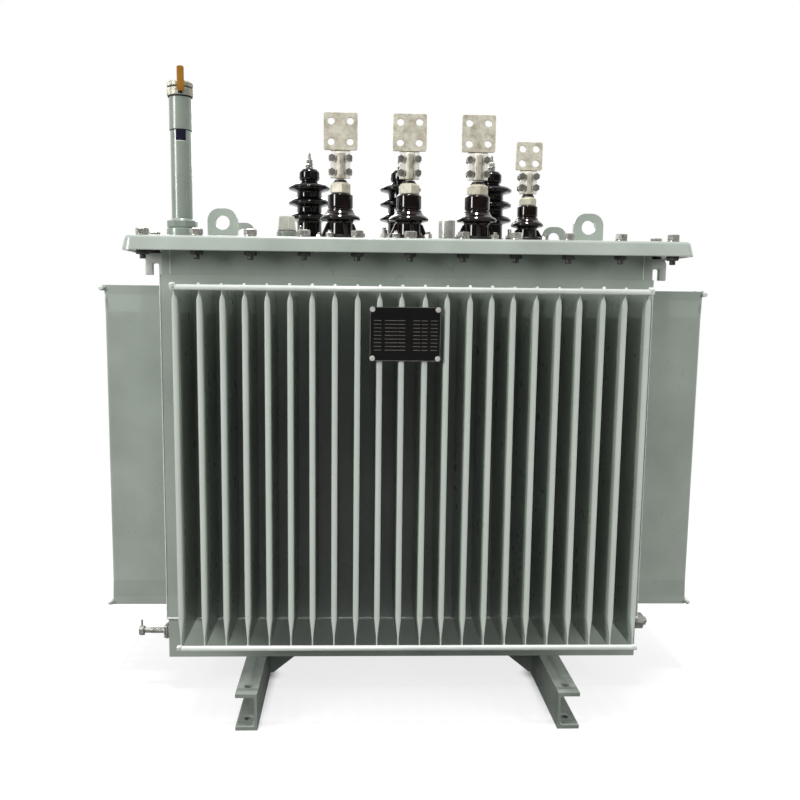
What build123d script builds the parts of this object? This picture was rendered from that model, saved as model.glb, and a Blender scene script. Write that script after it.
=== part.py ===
from build123d import *
import os
from math import atan, cos, degrees, radians, sin, sqrt

# Oil-filled distribution transformer on two channel feet, in millimetres.
# X runs along the tank, and Y from the low-voltage side to the high-voltage side.
# Z goes up from the floor. The origin is the middle of the footprint.

# Feet: two channels that lie across the tank, open outwards
foot_inset = 202.0
foot_overhang = 190.0
foot_height = 80.0
foot_flange_width = 46.0
foot_flange_thickness = 8.0
foot_web = 6.0
foot_hole_inset = 38.0
foot_hole_radius = 8.5
gusset_length = 88.0
gusset_thickness = 8.0
gusset_spacing = 300.0
gusset_toe = 8.0

# Tank: floor and base frame, and on them the finned sheet with a set-back top band
tank_length = 1084.0
tank_width = 460.0
floor_thickness = 8.0
base_frame_height = 85.0
base_frame_thickness = 8.0
base_frame_setback = 2.5
wall_thickness = 8.0
band_setback = 4.0
band_height = 55.0
sheet_margin = 22.0

# Cooling fins: full in the middle, pressed flat and welded at both ends
fin_pitch = 45.0
fin_height = 754.0
fin_thickness = 12.0
fin_crown = 4.0
fin_seam_thickness = 3.0
fin_seam_height = 19.5
fin_taper_height = 41.5
front_fin_depth = 170.0
side_fin_depth = 148.0
front_end_shift = 3.5
front_corner_margin = 60.0
side_corner_margin = 90.0

# Tie rods across the fin edges
rod_radius = 5.6
rod_overhang = 1.0
rod_top_inset = 7.0
rod_bottom_inset = 1.5
side_rod_bottom_inset = 6.0
weld_gap = 0.2

# Tank flange, gasket and lid
flange_thickness = 10.0
flange_clearance = 4.0
gasket_thickness = 6.0
gasket_width = 24.0
lid_overhang_x = 68.5
lid_overhang_y = 65.0
lid_thickness = 10.0
lid_lip_height = 32.0
lid_lip_thickness = 8.0
lid_lip_flare = 8.0
lid_corner_radius = 24.0
lid_edge_radius = 9.0
lid_bolt_offset_x = 26.5
lid_bolt_offset_y = 36.0
lid_bolt_hole_radius = 7.0
long_side_bolts = 11
short_side_bolts = 6

# Lifting lugs on the lid
lug_inset_x = 132.0
lug_inset_y = 60.0
lug_shift_x = -3.0
lug_width = 66.5
lug_height = 67.0
lug_thickness = 12.0
lug_corner_radius = 27.0
lug_hole_radius = 15.8
lug_hole_height = 36.2

# Hooks on the end walls, open downwards
hook_inset = 35.0
hook_height = 48.0
hook_thickness = 12.0
hook_leg = 12.0
hook_slot = 11.0
hook_slot_depth = 24.0
hook_lip = 15.0
hook_bend_radius = 16.0
hook_drop = 7.0

# High-voltage bushings
high_row_x = -4.0
high_row_y = 110.0
high_pitch = 232.0
high_core_radius = 31.5
high_base_radius = 40.0
high_shed_radius = 53.0
high_shed_count = 3
high_first_shed = 76.0
high_shed_pitch = 37.0
high_neck_radius = 21.0
high_cap_radius = 26.0
high_cap_height = 29.0
high_body_height = 197.0

# High-voltage terminals
high_stud_radius = 5.0
high_stud_height = 40.0
high_nut_radius = 10.0
high_nut_height = 9.0
high_washer_radius = 8.5
high_washer_height = 3.0

# Low-voltage bushings of the phases
low_row_y = -120.0
low_row_x = 4.0
low_pitch = 157.0
phase_core_radius = 28.0
phase_base_radius = 38.0
phase_shed_radius = 46.0
phase_shed_height = 53.0
phase_groove_radius = 23.0
phase_cap_radius = 28.5
phase_cap_height = 34.0
phase_body_height = 109.0

# Low-voltage bushing of the neutral
neutral_offset = 117.0
neutral_core_radius = 21.0
neutral_base_radius = 33.0
neutral_shed_radius = 37.5
neutral_shed_height = 44.0
neutral_groove_radius = 18.0
neutral_cap_radius = 23.0
neutral_cap_height = 26.0
neutral_body_height = 88.0

# Porcelain details that all bushings share
spigot_inset = 12.0
spigot_depth = 26.0
spigot_clearance = 1.0
base_height = 12.0
shoulder_inset = 9.0
shoulder_height = 20.0
shed_rim = 6.0
shed_slope = 8.0
shed_underside = 4.0
cap_chamfer = 4.0

# Clamp rings that hold the bushings down
ring_width = 5.5
ring_height = 17.0
ring_chamfer = 5.0
ring_lap = 8.0
ring_clearance = 0.3

# Low-voltage terminals: stud, nut, and a palm held by two jaws
phase_stud_radius = 8.5
phase_nut_width = 43.0
phase_nut_height = 24.0
phase_jaw_width = 45.0
phase_palm_width = 76.5
phase_palm_height = 82.0
phase_palm_hole_x = 43.0
phase_palm_hole_z = 45.5
phase_jaw_height = 62.0
phase_jaw_lift = 11.0
neutral_stud_radius = 7.0
neutral_nut_width = 34.0
neutral_nut_height = 19.0
neutral_jaw_width = 38.0
neutral_palm_width = 60.0
neutral_palm_height = 62.0
neutral_palm_hole_x = 30.5
neutral_palm_hole_z = 32.0
neutral_jaw_height = 53.0
neutral_jaw_lift = 8.0
palm_hole_radius = 7.8
palm_thickness = 8.0
palm_corner_radius = 5.0
jaw_plate = 7.0
jaw_wall = 3.6
jaw_gap = 1.5
jaw_step = 4.0
stud_clearance = 0.3

# Oil gauge tube
gauge_inset_x = 39.5
gauge_inset_y = 60.0
gauge_base_radius = 34.5
gauge_base_height = 23.0
gauge_union_width = 64.0
gauge_union_height = 16.0
gauge_tube_radius = 22.8
gauge_window_height = 209.0
gauge_window_opening = 24.0
gauge_window_width = 25.0
gauge_window_depth = 5.0
gauge_sleeve_radius = 24.6
gauge_sleeve_height = 69.0
gauge_cap_radius = 29.0
gauge_cap_height = 33.0
gauge_cap_groove = 2.5
gauge_cap_joint = 19.0
gauge_cap_crown = 4.0
gauge_fit = 0.2
lever_width = 15.0
lever_thickness = 5.0
lever_length = 52.0
lever_rise = 27.0
lever_boss_width = 9.0
lever_boss_height = 12.0
lever_boss_length = 3.0
lever_turn = 13.0

# Filler cap and tap changer cover
filler_x = -284.6
filler_y = 0.0
filler_flange_radius = 24.6
filler_flange_height = 33.0
filler_cap_radius = 21.5
filler_cap_height = 36.5
filler_cap_top_radius = 18.5
tap_cover_x = 105.0
tap_cover_y = 0.0
tap_cover_radius = 20.0
tap_cover_height = 64.0
small_chamfer = 1.5

# Drain valve on the left end, and earth terminal on the right end
drain_inset = 30.0
drain_height = 133.0
drain_flange_radius = 17.0
drain_flange_thickness = 16.0
drain_pipe_radius = 6.5
drain_pipe_length = 46.0
drain_nut_width = 22.0
drain_nut_length = 11.0
drain_stem_radius = 2.2
drain_stem_height = 25.0
earth_inset = 15.0
earth_height = 160.5
earth_neck_radius = 11.0
earth_pad_radius = 19.0
earth_pad_thickness = 17.5
earth_nut_width = 24.0
earth_nut_length = 7.0
earth_stud_radius = 6.0
earth_stud_length = 3.0

# Nameplate on the front fins
plate_x = -16.5
plate_width = 142.0
plate_height = 108.0
plate_drop = 42.0
plate_thickness = 2.0

# Levels and places worked out from the sizes above
floor_top = foot_height + floor_thickness
base_top = floor_top + base_frame_height
fin_bottom = base_top
fin_top = fin_bottom + fin_height
sheet_top = fin_top + sheet_margin
wall_top = sheet_top + band_height
flange_top = wall_top + flange_thickness
gasket_top = flange_top + gasket_thickness
lid_top = gasket_top + lid_thickness
lid_bottom = lid_top - lid_lip_height
half_length = tank_length / 2
half_width = tank_width / 2
foot_gauge = tank_length - 2 * foot_inset
foot_length = tank_width + 2 * foot_overhang
foot_hole_spacing = foot_length - 2 * foot_hole_inset
frame_x = half_length - base_frame_setback
frame_y = half_width - base_frame_setback
inner_length = tank_length - 2 * wall_thickness
inner_width = tank_width - 2 * wall_thickness
lid_length = tank_length + 2 * lid_overhang_x
lid_width = tank_width + 2 * lid_overhang_y
lip_lean = lid_lip_flare / lid_lip_height
front_fin_count = int((tank_length - 2 * front_corner_margin) / fin_pitch) + 1
side_fin_count = int((tank_width - 2 * side_corner_margin) / fin_pitch) + 1
nose_y = half_width + front_fin_depth
nose_x = half_length + side_fin_depth
lug_x = half_length - lug_inset_x
lug_y = half_width - lug_inset_y
hook_y = half_width - hook_inset
gauge_x = gauge_inset_x - half_length
gauge_y = gauge_inset_y - half_width
drain_y = drain_inset - half_width
earth_y = earth_inset - half_width
phase_places = [low_row_x + low_pitch * step for step in (-1, 0, 1)]
neutral_x = phase_places[-1] + neutral_offset
high_places = [high_row_x + high_pitch * step for step in (-1, 0, 1)]


def hexagon_radius(width):
    """Corner radius of a hexagon of this width across its flats."""
    return width / sqrt(3)


def save(part, name):
    """Label a finished piece and write it to its own file."""
    part.label = name
    export_step(part, f"parts/{name}.step")


def upright(x, y):
    """Plane that stands along X through a vertical axis on the lid."""
    return Plane(origin=(x, y, lid_top), x_dir=(1, 0, 0), z_dir=(0, -1, 0))


def foot(side):
    """Channel under one end of the tank, with its web towards the middle."""
    centre = side * foot_gauge / 2
    web_x = centre - side * (foot_flange_width - foot_web) / 2
    inside = foot_height - 2 * foot_flange_thickness
    with BuildPart() as channel:
        with BuildSketch(Plane.XZ):
            with Locations((centre, foot_height / 2)):
                Rectangle(foot_flange_width, foot_height)
            with Locations((centre + side * foot_web / 2, foot_height / 2)):
                Rectangle(foot_flange_width - foot_web, inside, mode=Mode.SUBTRACT)
        extrude(amount=foot_length / 2, both=True)
        corners = channel.edges().filter_by(Axis.Y).filter_by_position(
            Axis.X, *sorted((web_x, web_x + side * foot_web / 2)))
        fillet(corners.filter_by_position(Axis.Z, foot_web, foot_height - foot_web), foot_web)
        with Locations((centre, -foot_hole_spacing / 2, foot_height),
                       (centre, foot_hole_spacing / 2, foot_height)):
            Hole(foot_hole_radius, foot_height)
    return channel.part


def gussets():
    """Four triangular plates between the inner faces of the feet and the tank floor."""
    face = foot_gauge / 2 - foot_flange_width / 2
    with BuildPart() as plates:
        for side in (-1, 1):
            for y in (-gusset_spacing / 2, gusset_spacing / 2):
                with BuildSketch(Plane.XZ.offset(-y)):
                    with BuildLine():
                        Polyline((side * face, foot_height),
                                 (side * (face - gusset_length), foot_height),
                                 (side * (face - gusset_length), foot_height - gusset_toe),
                                 (side * (face - gusset_toe), gusset_toe),
                                 (side * face, gusset_toe), close=True)
                    make_face()
                extrude(amount=gusset_thickness / 2, both=True)
    return plates.part


def tank_floor():
    """Floor plate under the base frame."""
    with BuildPart() as plate:
        with BuildSketch(Plane.XY.offset(foot_height)):
            Rectangle(2 * frame_x, 2 * frame_y)
        extrude(amount=floor_thickness)
    return plate.part


def ring_plate(bottom, height, outer, inner):
    """Flat frame between an outer and an inner rectangle."""
    with BuildPart() as frame:
        with BuildSketch(Plane.XY.offset(bottom)):
            Rectangle(*outer)
            Rectangle(*inner, mode=Mode.SUBTRACT)
        extrude(amount=height)
    return frame.part


def long_wall(side):
    """Front or back wall: the finned sheet with the set-back band above it."""
    with BuildPart() as wall:
        with BuildSketch(Plane.XY.offset(base_top)):
            with Locations((0, side * (half_width - wall_thickness / 2))):
                Rectangle(tank_length, wall_thickness)
        extrude(amount=sheet_top - base_top)
        with BuildSketch(Plane.XY.offset(sheet_top)):
            with Locations((0, side * (half_width - (wall_thickness + band_setback) / 2))):
                Rectangle(tank_length - 2 * band_setback, wall_thickness - band_setback)
        extrude(amount=band_height)
    return wall.part


def end_wall(side):
    """Left or right wall, which fits between the front and back walls."""
    with BuildPart() as wall:
        with BuildSketch(Plane.XY.offset(base_top)):
            with Locations((side * (half_length - wall_thickness / 2), 0)):
                Rectangle(wall_thickness, inner_width)
        extrude(amount=sheet_top - base_top)
        with BuildSketch(Plane.XY.offset(sheet_top)):
            with Locations((side * (half_length - (wall_thickness + band_setback) / 2), 0)):
                Rectangle(wall_thickness - band_setback, inner_width)
        extrude(amount=band_height)
    return wall.part


def fin(depth):
    """One fin, lofted from its pressed ends to its full middle, with a crowned outer edge."""
    seam = (fin_seam_thickness, fin_seam_thickness / 2)
    full = (fin_thickness, fin_crown)
    taper_start = fin_seam_height + fin_taper_height
    levels = [(fin_bottom, seam), (fin_bottom + fin_seam_height, seam),
              (fin_bottom + taper_start, full), (fin_top - taper_start, full),
              (fin_top - fin_seam_height, seam), (fin_top, seam)]
    with BuildPart() as blade:
        for height, (thickness, crown) in levels:
            half = thickness / 2
            with BuildSketch(Plane.XY.offset(height)):
                with BuildLine():
                    Polyline((-half, crown - depth), (-half, 0), (half, 0), (half, crown - depth))
                    ThreePointArc((half, crown - depth), (0, -depth), (-half, crown - depth))
                make_face()
        loft(ruled=True)
    return blade.part


def fin_bank(blade, count, end_shift, x, y, turn):
    """Row of fins on the wall at this place, whose two end fins stand a little apart."""
    last = (count - 1) / 2
    places = [((number - last) * fin_pitch, 0) for number in range(1, count - 1)]
    places += [(-last * fin_pitch - end_shift, 0), (last * fin_pitch + end_shift, 0)]
    with BuildPart() as bank:
        with Locations(Location((x, y, 0), (0, 0, turn))):
            with Locations(*places):
                add(blade)
    return bank.part


def fin_rods():
    """Round rods welded across the outer edges of every bank of fins."""
    reach = fin_thickness + 2 * rod_overhang
    long_rod = (front_fin_count - 1) * fin_pitch + 2 * front_end_shift + reach
    short_rod = (side_fin_count - 1) * fin_pitch + reach
    rod_y = nose_y + rod_radius + weld_gap
    rod_x = nose_x + rod_radius + weld_gap
    with BuildPart() as rods:
        for height in (fin_bottom + rod_bottom_inset, fin_top - rod_top_inset):
            with Locations((0, -rod_y, height), (0, rod_y, height)):
                Cylinder(rod_radius, long_rod, rotation=(0, 90, 0))
        for height in (fin_bottom + side_rod_bottom_inset, fin_top - rod_top_inset):
            with Locations((-rod_x, 0, height), (rod_x, 0, height)):
                Cylinder(rod_radius, short_rod, rotation=(90, 0, 0))
    return rods.part


def lid_bolt_places():
    """Centres of the bolts that hold the lid, once round the tank."""
    line_x = half_length + lid_bolt_offset_x
    line_y = half_width + lid_bolt_offset_y
    step_x = 2 * line_x / (long_side_bolts - 1)
    step_y = 2 * line_y / (short_side_bolts - 1)
    places = []
    for number in range(long_side_bolts):
        x = -line_x + number * step_x
        places += [(x, -line_y), (x, line_y)]
    for number in range(1, short_side_bolts - 1):
        y = -line_y + number * step_y
        places += [(-line_x, y), (line_x, y)]
    return places


def tank_flange():
    """Flange on top of the walls, with the lid bolts' holes."""
    lip_inside = lid_lip_thickness + (flange_top - lid_bottom) * lip_lean
    trim = 2 * (lip_inside + flange_clearance)
    outer = (lid_length - trim, lid_width - trim)
    with BuildPart() as flange:
        add(ring_plate(wall_top, flange_thickness, outer, (inner_length, inner_width)))
        with BuildSketch(Plane.XY.offset(wall_top)):
            with Locations(*lid_bolt_places()):
                Circle(lid_bolt_hole_radius)
        extrude(amount=flange_thickness, mode=Mode.SUBTRACT)
    return flange.part


def lid():
    """Pressed lid whose turned-down lip flares outwards, with bolt holes and openings."""
    pocket = (lid_length - 2 * lid_lip_thickness, lid_width - 2 * lid_lip_thickness)
    taper = degrees(atan(lip_lean))
    with BuildPart() as cover:
        with BuildSketch(Plane.XY.offset(lid_bottom)):
            RectangleRounded(lid_length, lid_width, lid_corner_radius)
        extrude(amount=lid_lip_height, taper=taper)
        fillet(cover.edges().group_by(Axis.Z)[-1], lid_edge_radius)
        with BuildSketch(Plane.XY.offset(lid_bottom)):
            RectangleRounded(*pocket, lid_corner_radius - lid_lip_thickness)
        extrude(amount=lid_lip_height - lid_thickness, taper=taper, mode=Mode.SUBTRACT)
        with BuildSketch(Plane.XY.offset(gasket_top)):
            with Locations(*lid_bolt_places()):
                Circle(lid_bolt_hole_radius)
            with Locations(*[(x, high_row_y) for x in high_places]):
                Circle(high_base_radius - spigot_inset + spigot_clearance)
            with Locations(*[(x, low_row_y) for x in phase_places]):
                Circle(phase_base_radius - spigot_inset + spigot_clearance)
            with Locations((neutral_x, low_row_y)):
                Circle(neutral_base_radius - spigot_inset + spigot_clearance)
        extrude(amount=lid_thickness, mode=Mode.SUBTRACT)
    return cover.part


def lifting_lug(x, y):
    """Upright eye plate welded to the lid."""
    with BuildPart() as plate:
        with BuildSketch(Plane.XZ.offset(-y)) as outline:
            with Locations((x, lid_top + lug_height / 2)):
                Rectangle(lug_width, lug_height)
            fillet(outline.vertices().group_by(Axis.Y)[-1], lug_corner_radius)
            with Locations((x, lid_top + lug_hole_height)):
                Circle(lug_hole_radius, mode=Mode.SUBTRACT)
        extrude(amount=lug_thickness / 2, both=True)
    return plate.part


def hooks(side):
    """Two hooks on an end wall, each a plate with a slot that opens downwards."""
    root = half_length - band_setback
    reach = hook_leg + hook_slot + hook_lip
    top = wall_top - hook_drop
    bottom = top - hook_height
    slot_centre = side * (root + hook_leg + hook_slot / 2)
    with BuildPart() as pair:
        for y in (-hook_y, hook_y):
            with BuildSketch(Plane.XZ.offset(-y)) as outline:
                with Locations((side * (root + reach / 2), top - hook_height / 2)):
                    Rectangle(reach, hook_height)
                outer = outline.vertices().group_by(Axis.Y)[-1].sort_by(Axis.X)
                fillet(outer[-1] if side > 0 else outer[0], hook_bend_radius)
                straight = hook_slot_depth - hook_slot / 2
                with Locations((slot_centre, bottom + straight / 2)):
                    Rectangle(hook_slot, straight, mode=Mode.SUBTRACT)
                with Locations((slot_centre, bottom + straight)):
                    Circle(hook_slot / 2, mode=Mode.SUBTRACT)
            extrude(amount=hook_thickness / 2, both=True)
    return pair.part


def shed_points(core, radius, height):
    """Outline of one shed, from its underside round the rim to its sloping top."""
    half_rim = shed_rim / 2
    return [(core, height - half_rim - shed_underside), (radius, height - half_rim),
            (radius, height + half_rim), (core, height + half_rim + shed_slope)]


def foot_points(core, base):
    """Outline of a bushing's lower end: spigot, base, shoulder and foot of the core."""
    spigot = base - spigot_inset
    shoulder = base - shoulder_inset
    return [(0, -spigot_depth), (spigot, -spigot_depth), (spigot, 0), (base, 0),
            (base, base_height), (shoulder, base_height), (core, shoulder_height)]


def cap_points(neck, radius, height, top):
    """Outline of a bushing's head, above its neck."""
    return [(neck, top - height), (radius - cap_chamfer, top - height),
            (radius, top - height + cap_chamfer), (radius, top - cap_chamfer),
            (radius - cap_chamfer, top), (0, top)]


def turned(points, x, y):
    """Solid turned from an outline about a vertical axis on the lid."""
    with BuildPart() as body:
        with BuildSketch(upright(x, y)):
            with BuildLine():
                Polyline(*points, close=True)
            make_face()
        revolve(axis=Axis((x, y, 0), (0, 0, 1)))
    return body.part


def high_bushing(x):
    """Porcelain of one high-voltage bushing, with its sheds one above the other."""
    points = foot_points(high_core_radius, high_base_radius)
    for number in range(high_shed_count):
        height = high_first_shed + number * high_shed_pitch
        points += shed_points(high_core_radius, high_shed_radius, height)
    points[-1] = (high_neck_radius, points[-1][1])
    points += cap_points(high_neck_radius, high_cap_radius, high_cap_height, high_body_height)
    return turned(points, x, high_row_y)


def phase_bushing(x):
    """Porcelain of one low-voltage phase bushing."""
    points = foot_points(phase_core_radius, phase_base_radius)
    points += shed_points(phase_core_radius, phase_shed_radius, phase_shed_height)
    points[-1] = (phase_groove_radius, points[-1][1])
    points += cap_points(phase_groove_radius, phase_cap_radius, phase_cap_height, phase_body_height)
    return turned(points, x, low_row_y)


def neutral_bushing():
    """Porcelain of the neutral bushing."""
    points = foot_points(neutral_core_radius, neutral_base_radius)
    points += shed_points(neutral_core_radius, neutral_shed_radius, neutral_shed_height)
    points[-1] = (neutral_groove_radius, points[-1][1])
    points += cap_points(neutral_groove_radius, neutral_cap_radius, neutral_cap_height,
                         neutral_body_height)
    return turned(points, neutral_x, low_row_y)


def clamp_ring(base, x, y):
    """Ring that laps over a bushing's base and holds it to the lid."""
    inner = base + ring_clearance
    lap = base - ring_lap
    outer = base + ring_width
    points = [(inner, 0), (outer, 0), (outer, ring_height - ring_chamfer),
              (outer - ring_chamfer, ring_height), (lap, ring_height),
              (lap, base_height + ring_clearance), (inner, base_height + ring_clearance)]
    return turned(points, x, y)


def high_terminal(x):
    """Threaded stud of a high-voltage bushing, with two nuts and a washer between them."""
    top = lid_top + high_body_height
    lower = top + high_nut_height
    washer = lower + high_washer_height
    with BuildPart() as terminal:
        with BuildSketch(Plane.XY.offset(top)):
            with Locations((x, high_row_y)):
                RegularPolygon(high_nut_radius, 6)
        extrude(amount=high_nut_height)
        with BuildSketch(Plane.XY.offset(lower)):
            with Locations((x, high_row_y)):
                Circle(high_washer_radius)
        extrude(amount=high_washer_height)
        with BuildSketch(Plane.XY.offset(washer)):
            with Locations((x, high_row_y)):
                RegularPolygon(high_nut_radius, 6)
        extrude(amount=high_nut_height)
        with BuildSketch(Plane.XY.offset(washer)):
            with Locations((x, high_row_y)):
                Circle(high_stud_radius)
        extrude(amount=high_stud_height - high_nut_height - high_washer_height)
        chamfer(terminal.edges().group_by(Axis.Z)[-1], small_chamfer)
    return terminal.part


def low_nut(x, body_height, width, height, stud):
    """Hexagon nut on the head of a low-voltage bushing."""
    with BuildPart() as nut:
        with BuildSketch(Plane.XY.offset(lid_top + body_height)):
            with Locations((x, low_row_y)):
                RegularPolygon(hexagon_radius(width), 6, rotation=30)
                Circle(stud + stud_clearance, mode=Mode.SUBTRACT)
        extrude(amount=height)
        rim = nut.edges().group_by(Axis.Z)[-1].filter_by(GeomType.LINE)
        chamfer(rim, small_chamfer)
    return nut.part


def low_stud(x, body_height, radius, length):
    """Stud that comes out of a low-voltage bushing and is gripped by the jaws."""
    with BuildPart() as stud:
        with BuildSketch(Plane.XY.offset(lid_top + body_height)):
            with Locations((x, low_row_y)):
                Circle(radius)
        extrude(amount=length)
        chamfer(stud.edges().group_by(Axis.Z)[-1], small_chamfer)
    return stud.part


def jaw(x, bottom, height, width, stud, side):
    """Half of a terminal clamp: a flat plate with a half-round grip for the stud."""
    grip = stud + jaw_wall
    with BuildPart() as half:
        with BuildSketch(Plane.XY.offset(bottom)):
            with Locations((x, low_row_y)):
                Rectangle(width, 2 * jaw_plate)
                Circle(grip)
                Circle(stud + stud_clearance, mode=Mode.SUBTRACT)
                with Locations((0, side * (jaw_gap / 2 - grip))):
                    Rectangle(width, 2 * grip, mode=Mode.SUBTRACT)
        extrude(amount=height)
    return half.part


def palm(x, bottom, jaw_height, jaw_width, stud, size, holes):
    """Rear jaw with the flat four-hole palm standing on it."""
    width, height = size
    palm_bottom = bottom + jaw_height
    with BuildPart() as plate:
        add(jaw(x, bottom, jaw_height, jaw_width, stud, 1))
        with BuildSketch(Plane.XZ.offset(palm_thickness / 2 - low_row_y)):
            with Locations((x, palm_bottom + height / 2)):
                RectangleRounded(width, height, palm_corner_radius)
                with GridLocations(*holes, 2, 2):
                    Circle(palm_hole_radius, mode=Mode.SUBTRACT)
        extrude(amount=-palm_thickness)
        with BuildSketch(Plane.XY.offset(palm_bottom)):
            with Locations((x, low_row_y + (jaw_gap / 2 + stud + jaw_wall) / 2)):
                Rectangle(2 * stud, stud + jaw_wall - jaw_gap / 2)
        extrude(amount=palm_thickness)
    return plate.part


def gauge_base():
    """Boss of the oil gauge on the lid, with the union nut that holds the tube."""
    with BuildPart() as base:
        with BuildSketch(Plane.XY.offset(lid_top)):
            with Locations((gauge_x, gauge_y)):
                Circle(gauge_base_radius)
        extrude(amount=gauge_base_height)
        with BuildSketch(Plane.XY.offset(lid_top + gauge_base_height)):
            with Locations((gauge_x, gauge_y)):
                RegularPolygon(hexagon_radius(gauge_union_width), 6)
        extrude(amount=gauge_union_height)
        chamfer(base.edges().group_by(Axis.Z)[-1], small_chamfer)
        with Locations((gauge_x, gauge_y, lid_top + gauge_base_height + gauge_union_height)):
            Hole(gauge_tube_radius + gauge_fit, gauge_union_height)
    return base.part


def gauge_tube():
    """Gauge tube with its wider upper sleeve and the pocket of the window."""
    bottom = lid_top + gauge_base_height
    sleeve = lid_top + gauge_window_height + gauge_window_opening
    with BuildPart() as tube:
        with BuildSketch(Plane.XY.offset(bottom)):
            with Locations((gauge_x, gauge_y)):
                Circle(gauge_tube_radius)
        extrude(amount=sleeve - bottom)
        with BuildSketch(Plane.XY.offset(sleeve)):
            with Locations((gauge_x, gauge_y)):
                Circle(gauge_sleeve_radius)
        extrude(amount=gauge_sleeve_height)
        with BuildSketch(Plane.XY.offset(sleeve - gauge_window_opening)):
            with Locations((gauge_x, gauge_y - gauge_tube_radius)):
                Rectangle(gauge_window_width, 2 * gauge_window_depth)
        extrude(amount=gauge_window_opening, mode=Mode.SUBTRACT)
    return tube.part


def gauge_window():
    """Dark sight glass that fills the pocket of the gauge tube."""
    bottom = lid_top + gauge_window_height
    with BuildPart() as window:
        with BuildSketch(Plane.XY.offset(bottom)):
            with Locations((gauge_x, gauge_y)):
                Circle(gauge_tube_radius)
            with Locations((gauge_x, gauge_y - gauge_tube_radius)):
                Rectangle(gauge_window_width, 2 * gauge_window_depth, mode=Mode.INTERSECT)
        extrude(amount=gauge_window_opening)
    return window.part


def lever_plane(height):
    """Level plane on the gauge's axis, turned to where the lever is."""
    turn = radians(lever_turn)
    return Plane(origin=(gauge_x, gauge_y, height), x_dir=(cos(turn), sin(turn), 0))


def gauge_cap():
    """Domed cap with two grooves round it and the boss that carries the lever."""
    bottom = gauge_window_height + gauge_window_opening + gauge_sleeve_height
    top = bottom + gauge_cap_height
    inner = gauge_cap_radius - gauge_cap_groove
    lower = bottom + gauge_cap_groove
    upper = bottom + gauge_cap_joint
    points = [(0, bottom), (inner, bottom), (inner, lower), (gauge_cap_radius, lower),
              (gauge_cap_radius, upper), (inner, upper), (inner, upper + gauge_cap_groove),
              (gauge_cap_radius, upper + gauge_cap_groove), (gauge_cap_radius, top - gauge_cap_crown),
              (inner, top), (0, top)]
    boss = gauge_cap_groove + lever_boss_length
    with BuildPart() as cap:
        add(turned(points, gauge_x, gauge_y))
        with BuildSketch(lever_plane(lid_top + lower + small_chamfer)):
            with Locations((0, -inner - boss / 2)):
                Rectangle(lever_boss_width, boss)
        extrude(amount=lever_boss_height)
    return cap.part


def gauge_lever():
    """Flat upright lever in front of the gauge cap."""
    cap_top = (lid_top + gauge_window_height + gauge_window_opening + gauge_sleeve_height
               + gauge_cap_height)
    front = gauge_cap_radius + lever_boss_length
    with BuildPart() as lever:
        with BuildSketch(lever_plane(cap_top + lever_rise - lever_length)) as outline:
            with Locations((0, -front - lever_thickness / 2)):
                Rectangle(lever_width, lever_thickness)
            fillet(outline.vertices(), small_chamfer)
        extrude(amount=lever_length)
    return lever.part


def filler_cap():
    """Screw cap of the filler neck on its flange."""
    top = filler_flange_height + filler_cap_height
    points = [(0, 0), (filler_flange_radius, 0), (filler_flange_radius, filler_flange_height),
              (filler_cap_radius, filler_flange_height), (filler_cap_top_radius, top - small_chamfer),
              (filler_cap_top_radius - small_chamfer, top), (0, top)]
    return turned(points, filler_x, filler_y)


def tap_changer_cover():
    """Bright metal cover over the tap changer's knob."""
    rim = tap_cover_radius - small_chamfer
    points = [(0, 0), (tap_cover_radius, 0), (tap_cover_radius, tap_cover_height - small_chamfer),
              (rim, tap_cover_height), (0, tap_cover_height)]
    return turned(points, tap_cover_x, tap_cover_y)


def drain_valve():
    """Drain valve on the left end of the base frame: flange, pipe, nut and stem."""
    face = Plane(origin=(-frame_x, drain_y, drain_height), x_dir=(0, 1, 0), z_dir=(-1, 0, 0))
    nut = face.offset(drain_flange_thickness + drain_pipe_length)
    with BuildPart() as valve:
        with BuildSketch(face):
            Circle(drain_flange_radius)
        extrude(amount=drain_flange_thickness)
        with BuildSketch(face):
            Circle(drain_pipe_radius)
        extrude(amount=drain_flange_thickness + drain_pipe_length)
        with BuildSketch(nut):
            RegularPolygon(hexagon_radius(drain_nut_width), 6)
        extrude(amount=drain_nut_length)
        with BuildSketch(Plane.XY.offset(drain_height)):
            with Locations((nut.origin.X - drain_nut_length / 2, drain_y)):
                Circle(drain_stem_radius)
        extrude(amount=drain_stem_height)
    return valve.part


def earth_terminal():
    """Earth terminal on the right end of the base frame: neck, pad, nut and stud."""
    face = Plane(origin=(frame_x, earth_y, earth_height), x_dir=(0, 1, 0), z_dir=(1, 0, 0))
    pad = face.offset(base_frame_setback)
    nut = pad.offset(earth_pad_thickness)
    with BuildPart() as terminal:
        with BuildSketch(face):
            Circle(earth_neck_radius)
        extrude(amount=base_frame_setback)
        with BuildSketch(pad):
            Circle(earth_pad_radius)
        extrude(amount=earth_pad_thickness)
        with BuildSketch(nut):
            RegularPolygon(hexagon_radius(earth_nut_width), 6)
        extrude(amount=earth_nut_length)
        with BuildSketch(nut):
            Circle(earth_stud_radius)
        extrude(amount=earth_nut_length + earth_stud_length)
    return terminal.part


def nameplate():
    """Thin plate on the noses of the front fins."""
    back = nose_y + weld_gap
    with BuildPart() as plate:
        with BuildSketch(Plane.XZ.offset(back)):
            with Locations((plate_x, fin_top - plate_drop - plate_height / 2)):
                Rectangle(plate_width, plate_height)
        extrude(amount=plate_thickness)
    return plate.part


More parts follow.
